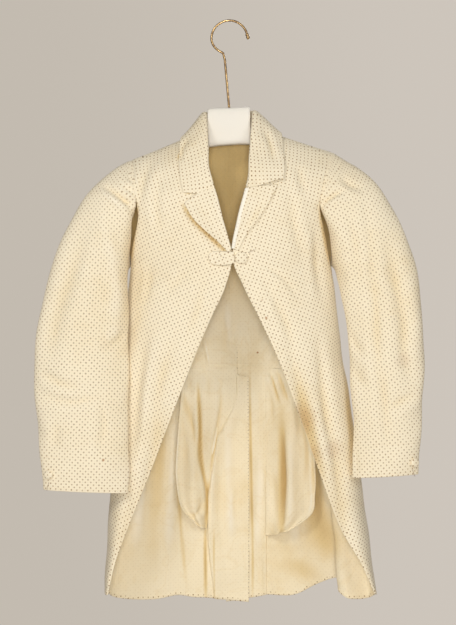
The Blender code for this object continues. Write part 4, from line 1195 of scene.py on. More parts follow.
# The cloth is cut slantwise, so the rows of dots lean to the middle: degrees at the shoulder and at the hem
FRONT_LEAN = {"right": (27.0, 16.0), "left": (-31.0, -19.0)}
FRONT_LEVELS = UNDERARM + (HEM - UNDERARM) * closer_at_ends(131)
FRONT_LEVELS = np.concatenate([np.linspace(0, UNDERARM, 60)[:-1], FRONT_LEVELS])

# %% Painted shade along folds and edges
SOFT = 0.45  # how much of a soft crease's depth is painted as shade in its trough and as highlight on its ridge
# Lines of painted shade along folds, gaps and edges, as a depth of hollow; less than 0 is a painted highlight
# on a rim
# columns: width, depth, then places (x, z)
PAINTED_SHADE_LINES = {"front right": (
    (3, 6.6, (-88, -331), (-66, -361), (-44, -384), (-22, -406), (4, -430)),
    (4.5, 4.6, (-168, -330), (-171, -370), (-174, -400), (-178, -446)),
    (1.6, 5, (-84, -315), (-68, -316), (-48, -318)),
    (1.6, 5, (-87, -234), (-90, -246), (-94, -257)),
    (9, 1.2, (-150, -420), (-160, -520), (-176, -600)),
), "front left": (
    (1.6, 3, (52, -312), (70, -306), (90, -300)),
    (1.6, 3, (86, -306), (60, -346), (44, -370)),
    (2, 3.4, (160, -338), (172, -328), (180, -320)),
    (4, 4.2, (159, -340), (165, -370), (172, -400), (182, -446)),
    (16, 2.6, (122, -650), (140, -735), (166, -830)),
    (8, 3.8, (210, -590), (217, -700), (228, -830)),
), "side right": (
    (4, 3.4, (-101, -766), (-97, -850), (-88, -960), (-79, -1055)),
    (3.6, 5, (-45, -915), (-45, -990), (-43, -1075)),
    (14, 1.6, (-120, -700), (-122, -800), (-118, -900)),
), "side left": (
    (24, 4.2, (160, -780), (170, -880), (190, -1010)),
    (20, 2.6, (96, -985), (140, -1010), (182, -1030)),
), "back right": (
    (1.4, 2.4, (-50, -575), (-45, -600), (-40, -628)),
    (1.4, 2, (-44, -575), (-39, -600), (-34, -628)),
    (1.6, 3.6, (-29, -925), (-29, -1000), (-27, -1075)),
    (9, 1.5, (-4, -655), (-2, -700), (-14, -760)),
), "back left": (
    (2.6, 5.5, (38, -630), (39.5, -760), (41.5, -870), (43.5, -965), (43, -1085)),
    (6, 1.6, (54, -650), (58, -700), (54, -800)),
), "bag right": (
    (3.4, 5.2, (-60, -650), (-57, -700), (-55, -740), (-53, -800), (-38, -885)),
    (5, 5.6, (-36, -840), (-42, -885), (-44, -945)),
    (3, 3.2, (-10, -735), (-29, -785), (-38, -845)),
    (2, -4, (-94, -680), (-97.5, -775), (-98, -850), (-92, -890)),
    (7, 1.6, (-86, -660), (-84, -740), (-80, -820)),
), "bag left": (
    (8, 3.4, (97, -690), (99, -790), (96, -950)),
    (5, 2.2, (138, -720), (141, -780), (139, -860)),
    (2, -4, (150, -760), (149, -830), (150, -890), (142, -915)),
    (1.6, 2.6, (78, -645), (86, -672), (96, -700)),
    (1.6, 2.6, (92, -640), (100, -664), (112, -700)),
)}


def painted_shade_lines(piece, points):
    """The painted shade of the listed lines, as a depth of hollow: creases with no lean, for the colour
    alone.
    """
    table = [(width, depth, 0, *places) for width, depth, *places in PAINTED_SHADE_LINES[piece]]
    return -creases(table, points[..., 0], points[..., 2])

# %% Grain, lengths and gathers
def leaning(points, lean):
    """The grain: up, turned in the picture's plane by degrees that change evenly from top to bottom."""
    z = points[..., 2]
    turn = np.radians(lean[0] + (lean[1] - lean[0]) * (z.max() - z) / (z.max() - z.min()))
    return np.stack([np.sin(turn), np.zeros_like(turn), np.cos(turn)], axis=-1)


def armpit(side, z, distance):
    """The fold under the arm: a bell curve down the armhole times one across it."""
    middle, half, depth = ARMPIT[side]
    return seam_groove(distance, depth * np.exp(-(((z - middle) / half) ** 2)), 8.0)


def creased(points, direction, table, seams, seed):
    """Points pushed out by their creases and slow waves, which fade near seams, and drawn in along the seams.

    Also how far each one was pushed, for the painted shade in its hollows and the painted highlight on its
    ridges.
    """
    x, z = points[..., 0], points[..., 2]
    push = creases(table, x, z) + billow(x, z, SWELL, seed)
    drawn = np.zeros_like(push)
    for distance in seams:
        push = push * ease(0.0, SEAM_REACH, distance)
        drawn = np.minimum(drawn, seam_groove(distance))
    gathered = pucker(reach(points, 0), np.minimum.reduce(seams), SEAM_PUCKER)
    return points + direction * (push + drawn + gathered)[..., None], push + drawn

# %% Sew the fronts
def sew(piece, side, points, direction, **how):
    """A printed piece of one side, plain inside, with its wall of cloth."""
    item = cloth(piece + "_cloth_" + side, points, direction, [printed, plain], **how)
    dress(item, piece + "_" + side)


def make_front(side):
    across, level = np.meshgrid(closer_at_ends(66), FRONT_LEVELS)
    points = front_point(side, across, level)
    direction = away(points, CENTRE)
    top, bottom, edge, seam = from_edges(points)
    points, push = creased(points, direction, FRONT_CREASES[side], (top, seam), 1.0 + SIDES.index(side))
    deep = armpit(side, points[..., 2], seam)
    gathered = pucker(reach(points, 0), edge, EDGE_PUCKER) * ease(UNDERARM, UNDERARM + 0.1, level)
    points = points + direction * (deep + gathered)[..., None]
    direction = away(points, CENTRE)
    free = np.minimum(bottom, np.where(level > UNDERARM, edge, FAR))
    # Painted shade on the outer face from the listed lines, the creases' troughs and the fold under the arm;
    # painted highlight on the ridges
    outside = painted_shade_lines("front " + side, points) - SOFT * push - deep
    sew("front", side, points, direction, hem=free, allowance=np.minimum(top, seam),
        grain=leaning(points, FRONT_LEAN[side]), hollow=(outside, SOFT * push + deep))
    return points, direction


fronts = {side: make_front(side) for side in SIDES}

# %% [markdown]
# The sides reach round from the underarm to the seam in the back. The left one has a deep fold at its hem,
# where the skirt swings forward and shows its inside.

# %% Sides
SIDE_CREASES = {"right": (
    (13, 3, 0.4, (-205, -560), (-212, -700), (-216, -860)),
    (14, 4, -0.4, (-150, -640), (-165, -800), (-175, -980)),
    (12, 3, 0.4, (-100, -700), (-110, -850), (-118, -1010)),
    (9, 2, 0.4, (-175, -470), (-160, -530), (-130, -590)),
), "left": (
    (13, 3, -0.4, (222, -560), (232, -700), (240, -830)),
    (13, 3.5, 0.4, (170, -640), (180, -800), (184, -940)),
    (12, 2.8, -0.4, (115, -700), (122, -850), (126, -1000)),
    (9, 2, 0.4, (180, -470), (160, -540), (130, -600)),
)}
SIDE_LEVELS = UNDERARM + (HEM - UNDERARM) * closer_at_ends(141)

# %% Sew the sides
def make_side(side):
    across, level = np.meshgrid(closer_at_ends(72), SIDE_LEVELS)
    points = side_point(side, across, level)
    direction = away(points, CENTRE)
    top, bottom, first, last = from_edges(points)
    points, push = creased(points, direction, SIDE_CREASES[side], (top, first, last), 3.0 + SIDES.index(side))
    direction = away(points, CENTRE)
    seams = np.minimum(np.minimum(first, last), top)
    # Painted shade and highlight from the creases on both faces, and lines of painted shade on the inner one
    sew("side", side, points, direction, hem=bottom, allowance=seams,
        hollow=(-SOFT * push, push + painted_shade_lines("side " + side, points)))


for side in SIDES:
    make_side(side)

# %% [markdown]
# The back is cut in two, joined down the middle as far as the waist. Below it the two tails lap over each
# other, as on a riding coat. Through the open front its plain inside shows, with the raw seams pressed
# open.

# %% Backs
BACK_CREASES = {"right": (
    (9, 2, 0.4, (-47, -577), (-40, -627)),
    (9, 2.4, 0.4, (-27, -648), (-31, -767), (-33, -935)),
    (6, 1.6, 0.4, (-6, -506), (-1, -562), (5, -609)),
    (10, 2.2, 0.4, (1, -674), (-3, -823), (5, -990)),
    (10, 2, -0.4, (-110, -300), (-118, -380), (-108, -450)),
    (8, 1.5, 0.4, (-60, -420), (-48, -500), (-30, -570)),
    (1.6, 0.4, 0.7, (-60, -625), (-15, -627), (8, -626)),
    (4, 1, 0.5, (-12, -700), (-9, -760)),
    (5, 1, -0.5, (8, -850), (2, -900), (6, -940)),
), "left": (
    (1.6, 0.4, 0.7, (12, -626), (48, -627), (76, -626)),
    (10, 2.2, -0.4, (53, -692), (57, -823), (49, -990)),
    (7, 1.6, 0.4, (72, -990), (76, -1065)),
    (10, 2, 0.4, (114, -300), (122, -380), (112, -450)),
    (8, 1.5, -0.4, (66, -420), (60, -500), (50, -570)),
)}
BACK_DOWN = np.concatenate([np.linspace(-1, 0, 52)[:-1], np.linspace(0, 0.465, 50)[:-1],
                            np.linspace(0.465, 0.525, 42)[:-1], np.linspace(0.525, 1, 90)])
WAIST_SHARE = 0.508
# The skirt is pleated where the side joins the back, and the pleat's fold stands off toward the inside
# columns: z, x of the fold, how far it stands off
PLEATS = {"right": (
    (-640, 20, 0),
    (-690, 10, 3),
    (-718, 0, 6),
    (-760, -23, 7),
    (-799, -29, 7),
    (-868, -40, 7),
    (-927, -41, 6),
    (-960, -40, 6),
    (-1070, -28, 5),
), "left": (
    (-640, 71, 0),
    (-700, 70, 2),
    (-800, 69.5, 3),
    (-930, 69.5, 3),
    (-1070, 69.5, 2.5),
)}
PLEAT_EDGE, PLEAT_REACH = 2.4, 30.0  # how far from its fold it stands off in full, and where it ends


def pleat(side, x, z):
    """A steep rise at the fold, then a slow fall toward the middle: less than 0 is to the inside."""
    table = np.array(PLEATS[side], float)[::-1]
    fold, height = (np.interp(z, table[:, 0], table[:, k]) for k in (1, 2))
    past = x - fold if side == "right" else fold - x
    return -height * ease(0.0, PLEAT_EDGE, past) * (1 - ease(PLEAT_EDGE, PLEAT_REACH, past))

# %% Sew the backs
def make_back(side):
    across, down = np.meshgrid(closer_at_ends(60), BACK_DOWN)
    points = back_point(side, across, down)
    direction = away(points, CENTRE)
    top, bottom, middle, outer = from_edges(points)
    joined = np.where(down < WAIST_SHARE, middle, FAR)
    seed = 5.0 + SIDES.index(side)
    points, push = creased(points, direction, BACK_CREASES[side], (top, joined, outer), seed)
    folded = pleat(side, points[..., 0], points[..., 2]) * ease(0.0, 1.5, outer)
    points = points + direction * folded[..., None]
    direction = away(points, CENTRE)
    seams = np.minimum(np.minimum(joined, outer), top)
    # Painted shade and highlight from the creases on both faces, and lines of painted shade on the inner one
    sew("back", side, points, direction, hem=bottom, allowance=seams,
        hollow=(-SOFT * push, push + painted_shade_lines("back " + side, points)))
    return points, direction


backs = {side: make_back(side) for side in SIDES}

# %% [markdown]
# A sleeve is a tube that hangs nearly flat, bent at the elbow. Its rings start round the armhole and turn
# into flat ovals. The creases at its head and under the arm come from the way it hangs from the shoulder,
# and they differ from front to back, so there is a table for each side of the tube.

# %% Sleeves
SLEEVE_CREASES = {"right": (
    (6, 3.4, 0.7, (-228, -300), (-208, -314), (-188, -330), (-170, -352)),
    (5, 1.5, 0.5, (-182, -287), (-168, -296)),
    (5, 1.5, 0.5, (-188, -306), (-166, -317)),
    (5, 1.5, 0.5, (-193, -326), (-166, -335)),
    (16, 2.8, -0.25, (-255, -351), (-273, -427), (-298, -502), (-314, -562), (-323, -632)),
    (14, -2.5, 0, (-232, -328), (-216, -409), (-204, -491), (-209, -596)),
    (9, 2.5, 0.5, (-337, -635), (-301, -655), (-259, -664)),
    (8, 2, 0.5, (-330, -681), (-280, -688), (-223, -678)),
    (8, 2, 0.5, (-184, -561), (-209, -587), (-237, -600)),
    (8, 1.6, 0.4, (-230, -681), (-223, -729), (-230, -783)),
    (9, 1.6, 0.4, (-305, -720), (-312, -774)),
), "left": (
    (4.5, 2.8, -0.6, (210, -310), (192, -318), (175, -328), (162, -341)),
    (10, 2.6, 0.4, (243, -338), (252, -416), (255, -466), (261, -525), (264, -607), (273, -664),
     (279, -739), (284, -810)),
    (13, 3.5, -0.4, (282, -400), (295, -464), (311, -545), (312, -607), (323, -658)),
    (9, 2.5, 0.5, (287, -701), (312, -685), (337, -678)),
    (9, 2, 0.4, (214, -356), (227, -418), (232, -489)),
    (8, 2, 0.4, (213, -561), (232, -596), (254, -607)),
    (8, 1.8, 0.4, (218, -635), (243, -657)),
    (7, 1.8, 0.4, (198, -285), (218, -302), (243, -308)),
    (8, 1.4, 0.4, (218, -765), (225, -801), (227, -824)),
)}
SLEEVE_LEAN = {"right": (5.0, 2.0), "left": (-14.0, -4.0)}
FRONT_COLUMN = 30  # the column of the sleeve's grid that runs down its front
SLEEVE_BACK_CREASES = {"right": (
    (12, 3.5, 0.4, (-196, -380), (-226, -430), (-240, -520)),
    (13, 3.5, -0.4, (-290, -420), (-316, -510), (-330, -600)),
    (10, 2.6, 0.5, (-200, -640), (-250, -650), (-310, -636)),
    (9, 2.2, 0.5, (-190, -690), (-240, -700), (-300, -690)),
    (9, 1.8, 0.4, (-260, -730), (-258, -800)),
), "left": (
    (12, 3.5, -0.4, (206, -380), (236, -430), (250, -520)),
    (13, 3.5, 0.4, (298, -400), (322, -490), (334, -580)),
    (10, 2.6, 0.5, (230, -630), (280, -640), (330, -620)),
    (9, 2.2, 0.5, (236, -690), (290, -700), (336, -680)),
    (9, 1.8, 0.4, (280, -730), (278, -800)),
)}

# %% Sew the sleeves
def make_sleeve(side):
    angle, share = np.meshgrid(np.linspace(0, 360, 121), closer_at_ends(150))
    points = sleeve_point(side, angle, share)
    centre = points.mean(axis=(0, 1))
    direction = away(points, centre, tube=True)
    x, z = points[..., 0], points[..., 2]
    facing = np.sin(np.radians(angle))
    push = creases(SLEEVE_CREASES[side], x, z) * ease(0.0, 0.5, facing)
    push += creases(SLEEVE_BACK_CREASES[side], x, z) * ease(0.0, 0.5, -facing)
    push += billow(x, z + 60 * facing, 1.8, 7.0 + SIDES.index(side))
    head, cuff = from_edges(points)[:2]
    push = push * ease(0.0, SEAM_REACH, head) + seam_groove(head)
    push += armpit(side, z, head) * ease(0.0, 0.5, facing)
    points = points + direction * (push + pucker(reach(points, 1), head, HEAD_PUCKER))[..., None]
    direction = away(points, centre, tube=True)
    # Painted shade and highlight from the creases and the fold under the arm
    sew("sleeve", side, points, direction, tube=True, grain=leaning(points, SLEEVE_LEAN[side]),
        column=FRONT_COLUMN, hem=cuff, allowance=head, hollow=(-SOFT * push, push))
    return points, direction


sleeves = {side: make_sleeve(side) for side in SIDES}

# %% [markdown]
# The collar stands up from the neck seam, folds over and falls to the shoulders. The lapels are the fronts'
# own cloth turned back, so each one starts at the front's edge, rolls over in a half circle and lies on the
# front.

# %% Collar and lapels
COLLAR_CREASES = (
    (5, 1.4, 0.4, (-72, -215), (-84, -232), (-88, -262)),
    (6, 1.4, -0.4, (60, -196), (74, -226), (80, -262)),
)
LAPEL_CREASES = {
    "right": ((9, 0.8, 0.4, (-60, -330), (-48, -352), (-30, -380)),),
    "left": ((9, 1.2, 0.4, (62, -330), (46, -356), (28, -384)),),
}
LAPEL_ROLL = {"right": 1.6, "left": 2.8}  # radius of the rolled edge
ROLL_HIGHLIGHT = {"right": 1.5, "left": 9.0}  # painted highlight on the rolled edge, as a push in millimetres
# How far the collar's right and left ends sink to the lapels that they are sewn to, and over what length
GORGE_DEPTH, GORGE_REACH = (2.8, 5.0), 16.0
COLLAR_CENTRE = np.array([0.0, 0.0, -260.0])

# %% Sew the collar and the lapels
def make_collar():
    across = closer_at_ends(64, 0.5)
    start, end = (along(COLLAR_ENDS[side], across)[:, 0] for side in SIDES)
    run = np.linspace(0, 1, 150)[:, None]
    station = start * (1 - run) + end * run
    points = collar_point(np.broadcast_to(across, station.shape), station)
    direction = away(points, COLLAR_CENTRE)
    shown = ease(COLLAR_FOLD, COLLAR_FOLD + 0.2, np.broadcast_to(across, station.shape))
    x, z = points[..., 0], points[..., 2]
    push = creases(COLLAR_CREASES, x, z) + billow(x, z, 0.8, 9.0)
    ends = from_edges(points)[:2]
    sewn = sum(deep * (1 - ease(0.0, GORGE_REACH, far)) for deep, far in zip(GORGE_DEPTH, ends))
    points = points + direction * (push * shown)[..., None]
    points[..., 1] += sewn * ease(0.3, COLLAR_FOLD, across) * (1 - ease(0.66, 0.74, across))
    direction = away(points, COLLAR_CENTRE)
    slantwise = unit(np.gradient(points, axis=1)) + unit(np.gradient(points, axis=0))
    # Painted shade and highlight from the creases
    item = cloth("collar_cloth", points, direction, [printed, printed], grain=slantwise, column=50,
                 hollow=(-push * shown, push * shown))
    dress(item, "collar")


def make_lapel(side):
    """Half a turn of radius r at the front's edge, then the front's own points moved out to the free edge."""
    radius = LAPEL_ROLL[side]
    across, share = np.meshgrid(closer_at_ends(34, 0.4), np.linspace(0, 1, 70))
    at_fold, half_way, at_edge, extent, lift = np.moveaxis(along(LAPEL[side], share), -1, 0)
    level = (
        at_fold * (1 - across) * (1 - 2 * across)
        + half_way * 4 * across * (1 - across)
        + at_edge * across * (2 * across - 1)
    )
    distance = 2 * radius + (LAPEL_LIFT - 2 * radius) * ease(0.0, 0.3, across) + lift * across**2
    lying = moved_out(front_point, side, extent * across, level, distance)
    edge = front_point(side, np.zeros(len(share)), at_fold[:, 0])
    out = unit(lying[:, 0] - edge)
    aside = unit(edge - front_point(side, np.full(len(share), 0.02), at_fold[:, 0]))
    turn = np.linspace(0, math.pi, 9)[None, :-1, None]
    roll = edge[:, None] + radius * ((1 - np.cos(turn)) * out[:, None] + np.sin(turn) * aside[:, None])
    points = np.concatenate([roll, lying], axis=1)
    direction = away(points, CENTRE)
    x, z = points[..., 0], points[..., 2]
    push = creases(LAPEL_CREASES[side], x, z) * ease(4.0, 20.0, reach(points, 1))
    points = points + direction * np.maximum(push, -1.0)[..., None]
    # A painted highlight along the rolled edge
    wear_and_highlight = ROLL_HIGHLIGHT[side] * (1 - ease(3.0, 6.0, np.abs(reach(points, 1) - 7.0)))
    item = cloth("lapel_cloth_" + side, points, direction, [printed, printed], column=20,
                 grain=leaning(points, FRONT_LEAN[side]), hollow=(-push - wear_and_highlight, push))
    dress(item, "lapel_" + side)


make_collar()
for side in SIDES:
    make_lapel(side)

# %% [markdown]
# Two pocket bags hang inside, of the plain cloth. Each is two layers sewn together round their edge, so the
# wall is thicker, with long folds where it hangs from the waist.

# %% Pocket bags
# Their first row takes the waist's own depth
# columns: share down, outer x, y, z, inner x, y, z
POCKET_BAG = {"right": (
    (0.00, -86, 62, -634, 12, 76, -634),
    (0.20, -90, 62, -690, 9, 76, -700),
    (0.34, -94, 61, -735, -13, 77, -745),
    (0.50, -97, 61, -775, -27, 77, -790),
    (0.70, -98, 60, -842, -35, 78, -845),
    (0.86, -88, 62, -893, -39, 78, -900),
    (1.00, -60, 64, -927, -43, 78, -932),
), "left": (
    (0.00, 128, 55, -634, 66, 76, -634),
    (0.20, 148, 53, -705, 68, 77, -705),
    (0.45, 155, 51, -775, 69, 78, -780),
    (0.70, 157, 51, -862, 69, 78, -850),
    (0.86, 151, 54, -903, 69, 78, -900),
    (1.00, 108, 58, -936, 68, 76, -944),
)}
BAG_FOLDS, BAG_FOLD_DEPTH = 1.5, 4.0  # folds across each bag, and their depth
BAG_WALL = 2.6
BEHIND_BAGS = np.array([0.0, 400.0, -780.0])
BAG_CREASES = {"right": (
    (4, 2.5, 0.6, (-58, -650), (-57, -690), (-55, -740), (-54, -795), (-45, -850), (-40, -900)),
    (6, 2.4, 0.5, (-84, -682), (-64, -766), (-56, -850)),
    (4, 2.2, 0.6, (-20, -655), (-16, -690), (-22, -740), (-34, -800)),
    (5, 1.6, 0.5, (-76, -909), (-59, -901), (-48, -874)),
    (5, 1.4, 0.5, (-73, -900), (-52, -930)),
    (7, 1.8, 0.4, (-76, -640), (-72, -680)),
    (5, 1.6, 0.4, (-40, -640), (-38, -690)),
), "left": (
    (4, 1.8, 0.5, (75, -636), (84, -668), (90, -700)),
    (4, 1.8, 0.5, (88, -634), (94, -660), (108, -700)),
    (7, 4, -0.6, (98, -740), (100, -840), (97, -945)),
    (7, 1.8, 0.5, (146, -766), (158, -877)),
    (6, 1.4, 0.5, (76, -666), (80, -747)),
    (7, 1.6, 0.5, (123, -692), (134, -766)),
    (6, 1.4, 0.5, (82, -821), (86, -914)),
)}

# %% Sew the pocket bags
def waist_depth(side, x):
    """How far back the inside of the waist is at each x, read off the side's and the back's own rows."""
    across = np.linspace(0, 1, 40)
    row = np.concatenate([side_point(side, across, WAIST), back_point(side, across, BACK_WAIST)])
    row = row[np.argsort(row[:, 0])]
    return np.interp(x, row[:, 0], row[:, 1])


def bag_point(side, across, share):
    """A bag: between its outer and inner edge, with sine folds across; its top is in the waist seam."""
    outer, inner = np.split(along(POCKET_BAG[side], share), 2, axis=-1)
    point = between(outer, inner, across)
    point[..., 1] = outer[..., 1] + (inner[..., 1] - outer[..., 1]) * across**3
    top = waist_depth(side, point[..., 0]) + BAG_WALL / 2 - WALL
    hang = ease(0.0, 0.16, share)
    fold = BAG_FOLD_DEPTH * np.sin(2 * math.pi * BAG_FOLDS * across) * ease(0.08, 0.4, share)
    point[..., 1] = top * (1 - hang) + point[..., 1] * hang + fold
    return point


def make_bag(side):
    across, share = np.meshgrid(closer_at_ends(48), closer_at_ends(90))
    points = bag_point(side, across, share)
    direction = away(points, BEHIND_BAGS)
    top, bottom, first, last = from_edges(points)
    x, z = points[..., 0], points[..., 2]
    push = creases(BAG_CREASES[side], x, z) + billow(x, z, 1.2, 10.0)
    ridge = np.exp(-(((np.minimum(first, bottom) - 5) / 1.6) ** 2))
    push = push * ease(0.0, 12.0, top)
    points = points + direction * (push - 0.7 * ridge)[..., None]
    direction = away(points, BEHIND_BAGS)
    # Lines of painted shade and highlight, and painted shade and highlight from the creases
    item = cloth("bag_cloth_" + side, points, direction, [plain, plain], wall=BAG_WALL,
                 hollow=(painted_shade_lines("bag " + side, points) - push, push))
    dress(item, "pocket_bag_" + side)


for side in SIDES:
    make_bag(side)

# %% [markdown]
# One button closes the coat. A narrow tab reaches from the right front to it, sewn down at its rounded end.
# The buttons are wooden moulds covered with the coat's own cloth: a shallow dome, turned round its middle.

# %% Tab and buttons
# A covered button's profile, in shares of its radius and its thickness
BUTTON_PROFILE = ((0.55, 0.0), (0.92, 0.1), (1.0, 0.35), (0.9, 0.7), (0.6, 0.94), (0.25, 1.0))
# Buttons: centre x, z on the panel they are sewn to, and their size
# columns: x, z, radius across, radius up, thickness
CLOSURE_BUTTON = (21.0, -432.5, 12.0, 10.8, 5.0)
CUFF_BUTTONS = {"right": (-321.0, -818.0, 8.5, 8.0, 5.0), "left": (329.0, -797.0, 8.5, 8.0, 5.0)}

# The closure's tab, from its rounded end on the right front to its end at the button
# columns: share, x, z, half height, distance from the front
TAB = (
    (0.00, -36.5, -431, 3, 2.4),
    (0.12, -33, -432, 8.5, 2.4),
    (0.35, -24, -433, 11.2, 2.5),
    (0.65, -10, -433.5, 11.2, 3.2),
    (1.00, 7.5, -432.5, 9.5, 4.2),
)
TAB_EDGE_X = 0.0  # past this the front turns away, and the tab goes straight on
TAB_WALL = 2.4  # two layers and what is turned in between them

# %% Make the tab and the buttons
def tab_point(share, height):
    """The tab: the right front's points moved out, and straight on past the front's edge."""
    x, middle_z, half, distance = np.moveaxis(along(TAB, share), -1, 0)
    z = middle_z + half * height
    on_front = np.minimum(x, TAB_EDGE_X)
    places = place_on(front_point, "right", on_front, z, np.full(x.shape, 0.1), np.full(x.shape, 1.0))
    point = moved_out(front_point, "right", *places, distance)
    point[..., 0] += x - on_front
    return point


def make_button(name, centre, direction, sizes, solid):
    """Rings of a profile, in shares of the radius and of the thickness, turned round the direction."""
    radius_across, radius_up, thickness = sizes
    right = unit(np.cross(direction, -UP))
    up = np.cross(right, direction)
    turn = np.linspace(0, 2 * math.pi, 40, endpoint=False)[:, None]
    rim = right * np.cos(turn) * radius_across + up * np.sin(turn) * radius_up
    rows = np.array(BUTTON_PROFILE, float)
    knots = np.linspace(0, 1, len(rows))
    profile = through(knots, rows, np.linspace(0, 1, 22))
    profile = np.concatenate([profile, [[0.12, 1.0], [0.03, 1.0]]])
    rings = np.stack([centre + rim * r + direction * thickness * h for r, h in profile])
    item = loft(name, rings, [covered], flat=lambda points: (points - centre) @ np.stack([right, up], -1))
    stand_for(item, solid)


def loft(name, rings, materials, flat=None):
    """Quads between each ring and the next, and one face over each end; flat gives the UV of a point."""
    count, sides = rings.shape[:2]
    index = np.arange(count * sides).reshape(count, sides)
    index = np.concatenate([index, index[:, :1]], axis=1)
    faces = quads_of(index).tolist() + [index[0, :-1].tolist(), index[-1, :-1].tolist()]
    vertices = rings.reshape(-1, 3)
    uv = None if flat is None else flat(vertices)[np.concatenate([np.array(face) for face in faces])] * MM
    item = new_object(name, vertices, faces, materials, uv=uv)
    turn_out(item)
    return item


share, height = np.meshgrid(closer_at_ends(44, 0.5), np.linspace(-1, 1, 18), indexing="ij")
tab = tab_point(share, height)
tab_direction = away(tab, CENTRE)
tab_item = cloth("tab_cloth", tab, tab_direction, [printed, printed], wall=TAB_WALL,
                 grain=leaning(tab, FRONT_LEAN["right"]))
dress(tab_item, "closure_tab")

x, z, *sizes = CLOSURE_BUTTON
place = place_on(front_point, "left", x, z, 0.2, 1.0)
here = moved_out(front_point, "left", *place, 1.0)
make_button("closure_button_cloth", here, np.array([0.0, -1.0, 0.0]), sizes, "closure_button")
for side in SIDES:
    x, z, *sizes = CUFF_BUTTONS[side]
    place = place_on(sleeve_point, side, x, z, 60.0, 0.95)
    here = sleeve_point(side, *place)
    direction = unit(moved_out(sleeve_point, side, *place, 1.0) - here)
    make_button("cuff_button_cloth_" + side, here + direction, direction, sizes, "cuff_button_" + side)

# %% [markdown]
# The sewing is visible from a step away: back stitches along the free edges and the cuffs, the raw vent's
# overcast edge, the waist seam, and the buttonhole beside the button. Stitches of one kind are one mesh of
# small pads, which is lighter than a curve for each thread, and they lie on the real surface of the cloth,
# creases and all.

# %% Sewing
thread, _, thread_shader = new_material("cream thread", 0.7)
thread_shader.inputs["Base Color"].default_value = (0.74, 0.56, 0.33, 1)
dark_thread, _, dark_shader = new_material("brown thread", 0.7)
dark_shader.inputs["Base Color"].default_value = (0.22, 0.11, 0.05, 1)
EDGE_STITCH = 4.5  # millimetres from a free edge
CUFF_LINE = {"right": ((-341, -787), (-242, -786)), "left": ((341, -762), (246, -765))}
VENT_TICKS = ((34.5, -655), (34.8, -760), (36.0, -900), (36.0, -1058))
WAIST_SEAM = ((-40, -624.5), (8, -625.5)), ((18, -625.5), (62, -625.0))
BUTTONHOLE = ((33, -423.5), (46, -417.5))
TAB_THREADS = ((-11.5, -431), (-10.0, -433)), ((-18, -425.5), (-16.5, -426.5))
CUFF_SLITS = {"right": ((-325.5, -846), (-321, -832)), "left": ((330.5, -822), (325, -808))}

FIRST_STITCHED_ROW = 64  # the fronts' edges are stitched from just below the closure
TAB_ROWS = (2, -3)  # the rows of the tab's grid that its stitches follow


def upended(grid):
    """The grid with its last row as the first place of each row."""
    return [np.swapaxes(field, 0, 1)[:, ::-1] for field in grid]


free_lines = []
for side in SIDES:
    below = [field[FIRST_STITCHED_ROW:] for field in fronts[side]]
    grids = below, upended(fronts[side]), upended(sleeves[side])
    free_lines += [line_beside(grid, EDGE_STITCH) for grid in grids]
    free_lines.append(on_grid(sleeves[side], CUFF_LINE[side]))
free_lines += [(tab[:, row], tab_direction[:, row]) for row in TAB_ROWS]
stitches("edge_stitches", free_lines, thread)
waist = [on_grid(backs[side], line, inside=True) for side, line in zip(SIDES, WAIST_SEAM)]
stitches("waist_stitches", waist, thread, spacing=2.4, length=1.5)
vent = [on_grid(backs["right"], VENT_TICKS, inside=True)]
stitches("vent_ticks", vent, dark_thread, spacing=6.5, length=1.0, width=2.2)
slits = [on_grid(fronts["left"], BUTTONHOLE)] + [on_grid(sleeves[side], CUFF_SLITS[side]) for side in SIDES]
stitches("buttonholes", slits, dark_thread, spacing=1.3, length=0.8, width=2.6)
tab_lines = [on_grid((tab, tab_direction), line) for line in TAB_THREADS]
stitches("tab_threads", tab_lines, dark_thread, spacing=1.2, length=1.6, width=1.6, lift=1.3)

# %% [markdown]
# The hanger is a board, thicker in the middle, under a hook of brass wire. Both are lofts: rings of points
# along the board, and round rings along the wire's own line.

# %% Hanger and hook
# The board, from the wearer's right arm to the left one
# columns: x, top z, bottom z, middle y, half depth, squareness
HANGER = (
    (-168, -249.8, -268, 6, 10, 1),
    (-150, -242.4, -266, 5, 12, 1),
    (-100, -222.2, -247, 3, 12, 1),
    (-56, -204.9, -232, 2, 11, 1),
    (-40.4, -199.6, -229.6, 1, 12, 0.7),
    (-39.7, -161, -229.4, 0, 12, 0.4),
    (-37.5, -158.9, -229, 0, 13, 0.4),
    (-20, -158, -226.5, 0, 13, 0.4),
    (0, -157.2, -225, 0, 13, 0.4),
    (18, -156.2, -224, 0, 13, 0.4),
    (35, -155.2, -224.2, 0, 13, 0.4),
    (37.2, -157.5, -224.6, 0, 12, 0.4),
    (38, -194, -225.5, 1, 12, 0.7),
    (58, -200.6, -228, 2, 11, 1),
    (100, -213.7, -238, 3, 12, 1),
    (155, -229.8, -254, 5, 12, 1),
    (174, -235.6, -254, 6, 10, 1),
)

# The hook's wire: an open ring with a stepped barrel at its free end, then a straight shank
HOOK_RADIUS = 32.8  # to the middle of the wire
HOOK_WIRE = 2.1  # radius of the wire
RING_CENTRE_Z = -30.8
RING_FROM = 16.0  # degrees, the free end
RING_TO = 246.0  # where the wire bends down
RING_INWARD = 4.0  # how much nearer the centre the ring ends than it starts
SHANK_TOP = (-8.5, -69)
SHANK_FOOT = (-0.6, -156.8)
# The barrel at the ring's free end is stepped
# columns: how far ahead of the wire's end, radius
TIP = ((11.0, 1.2), (10.4, 2.3), (9.2, 3.0), (6.6, 3.3), (5.4, 3.2),
       (4.9, 2.4), (3.9, 2.4), (3.5, 3.4), (1.2, 3.4), (0.6, 2.3))

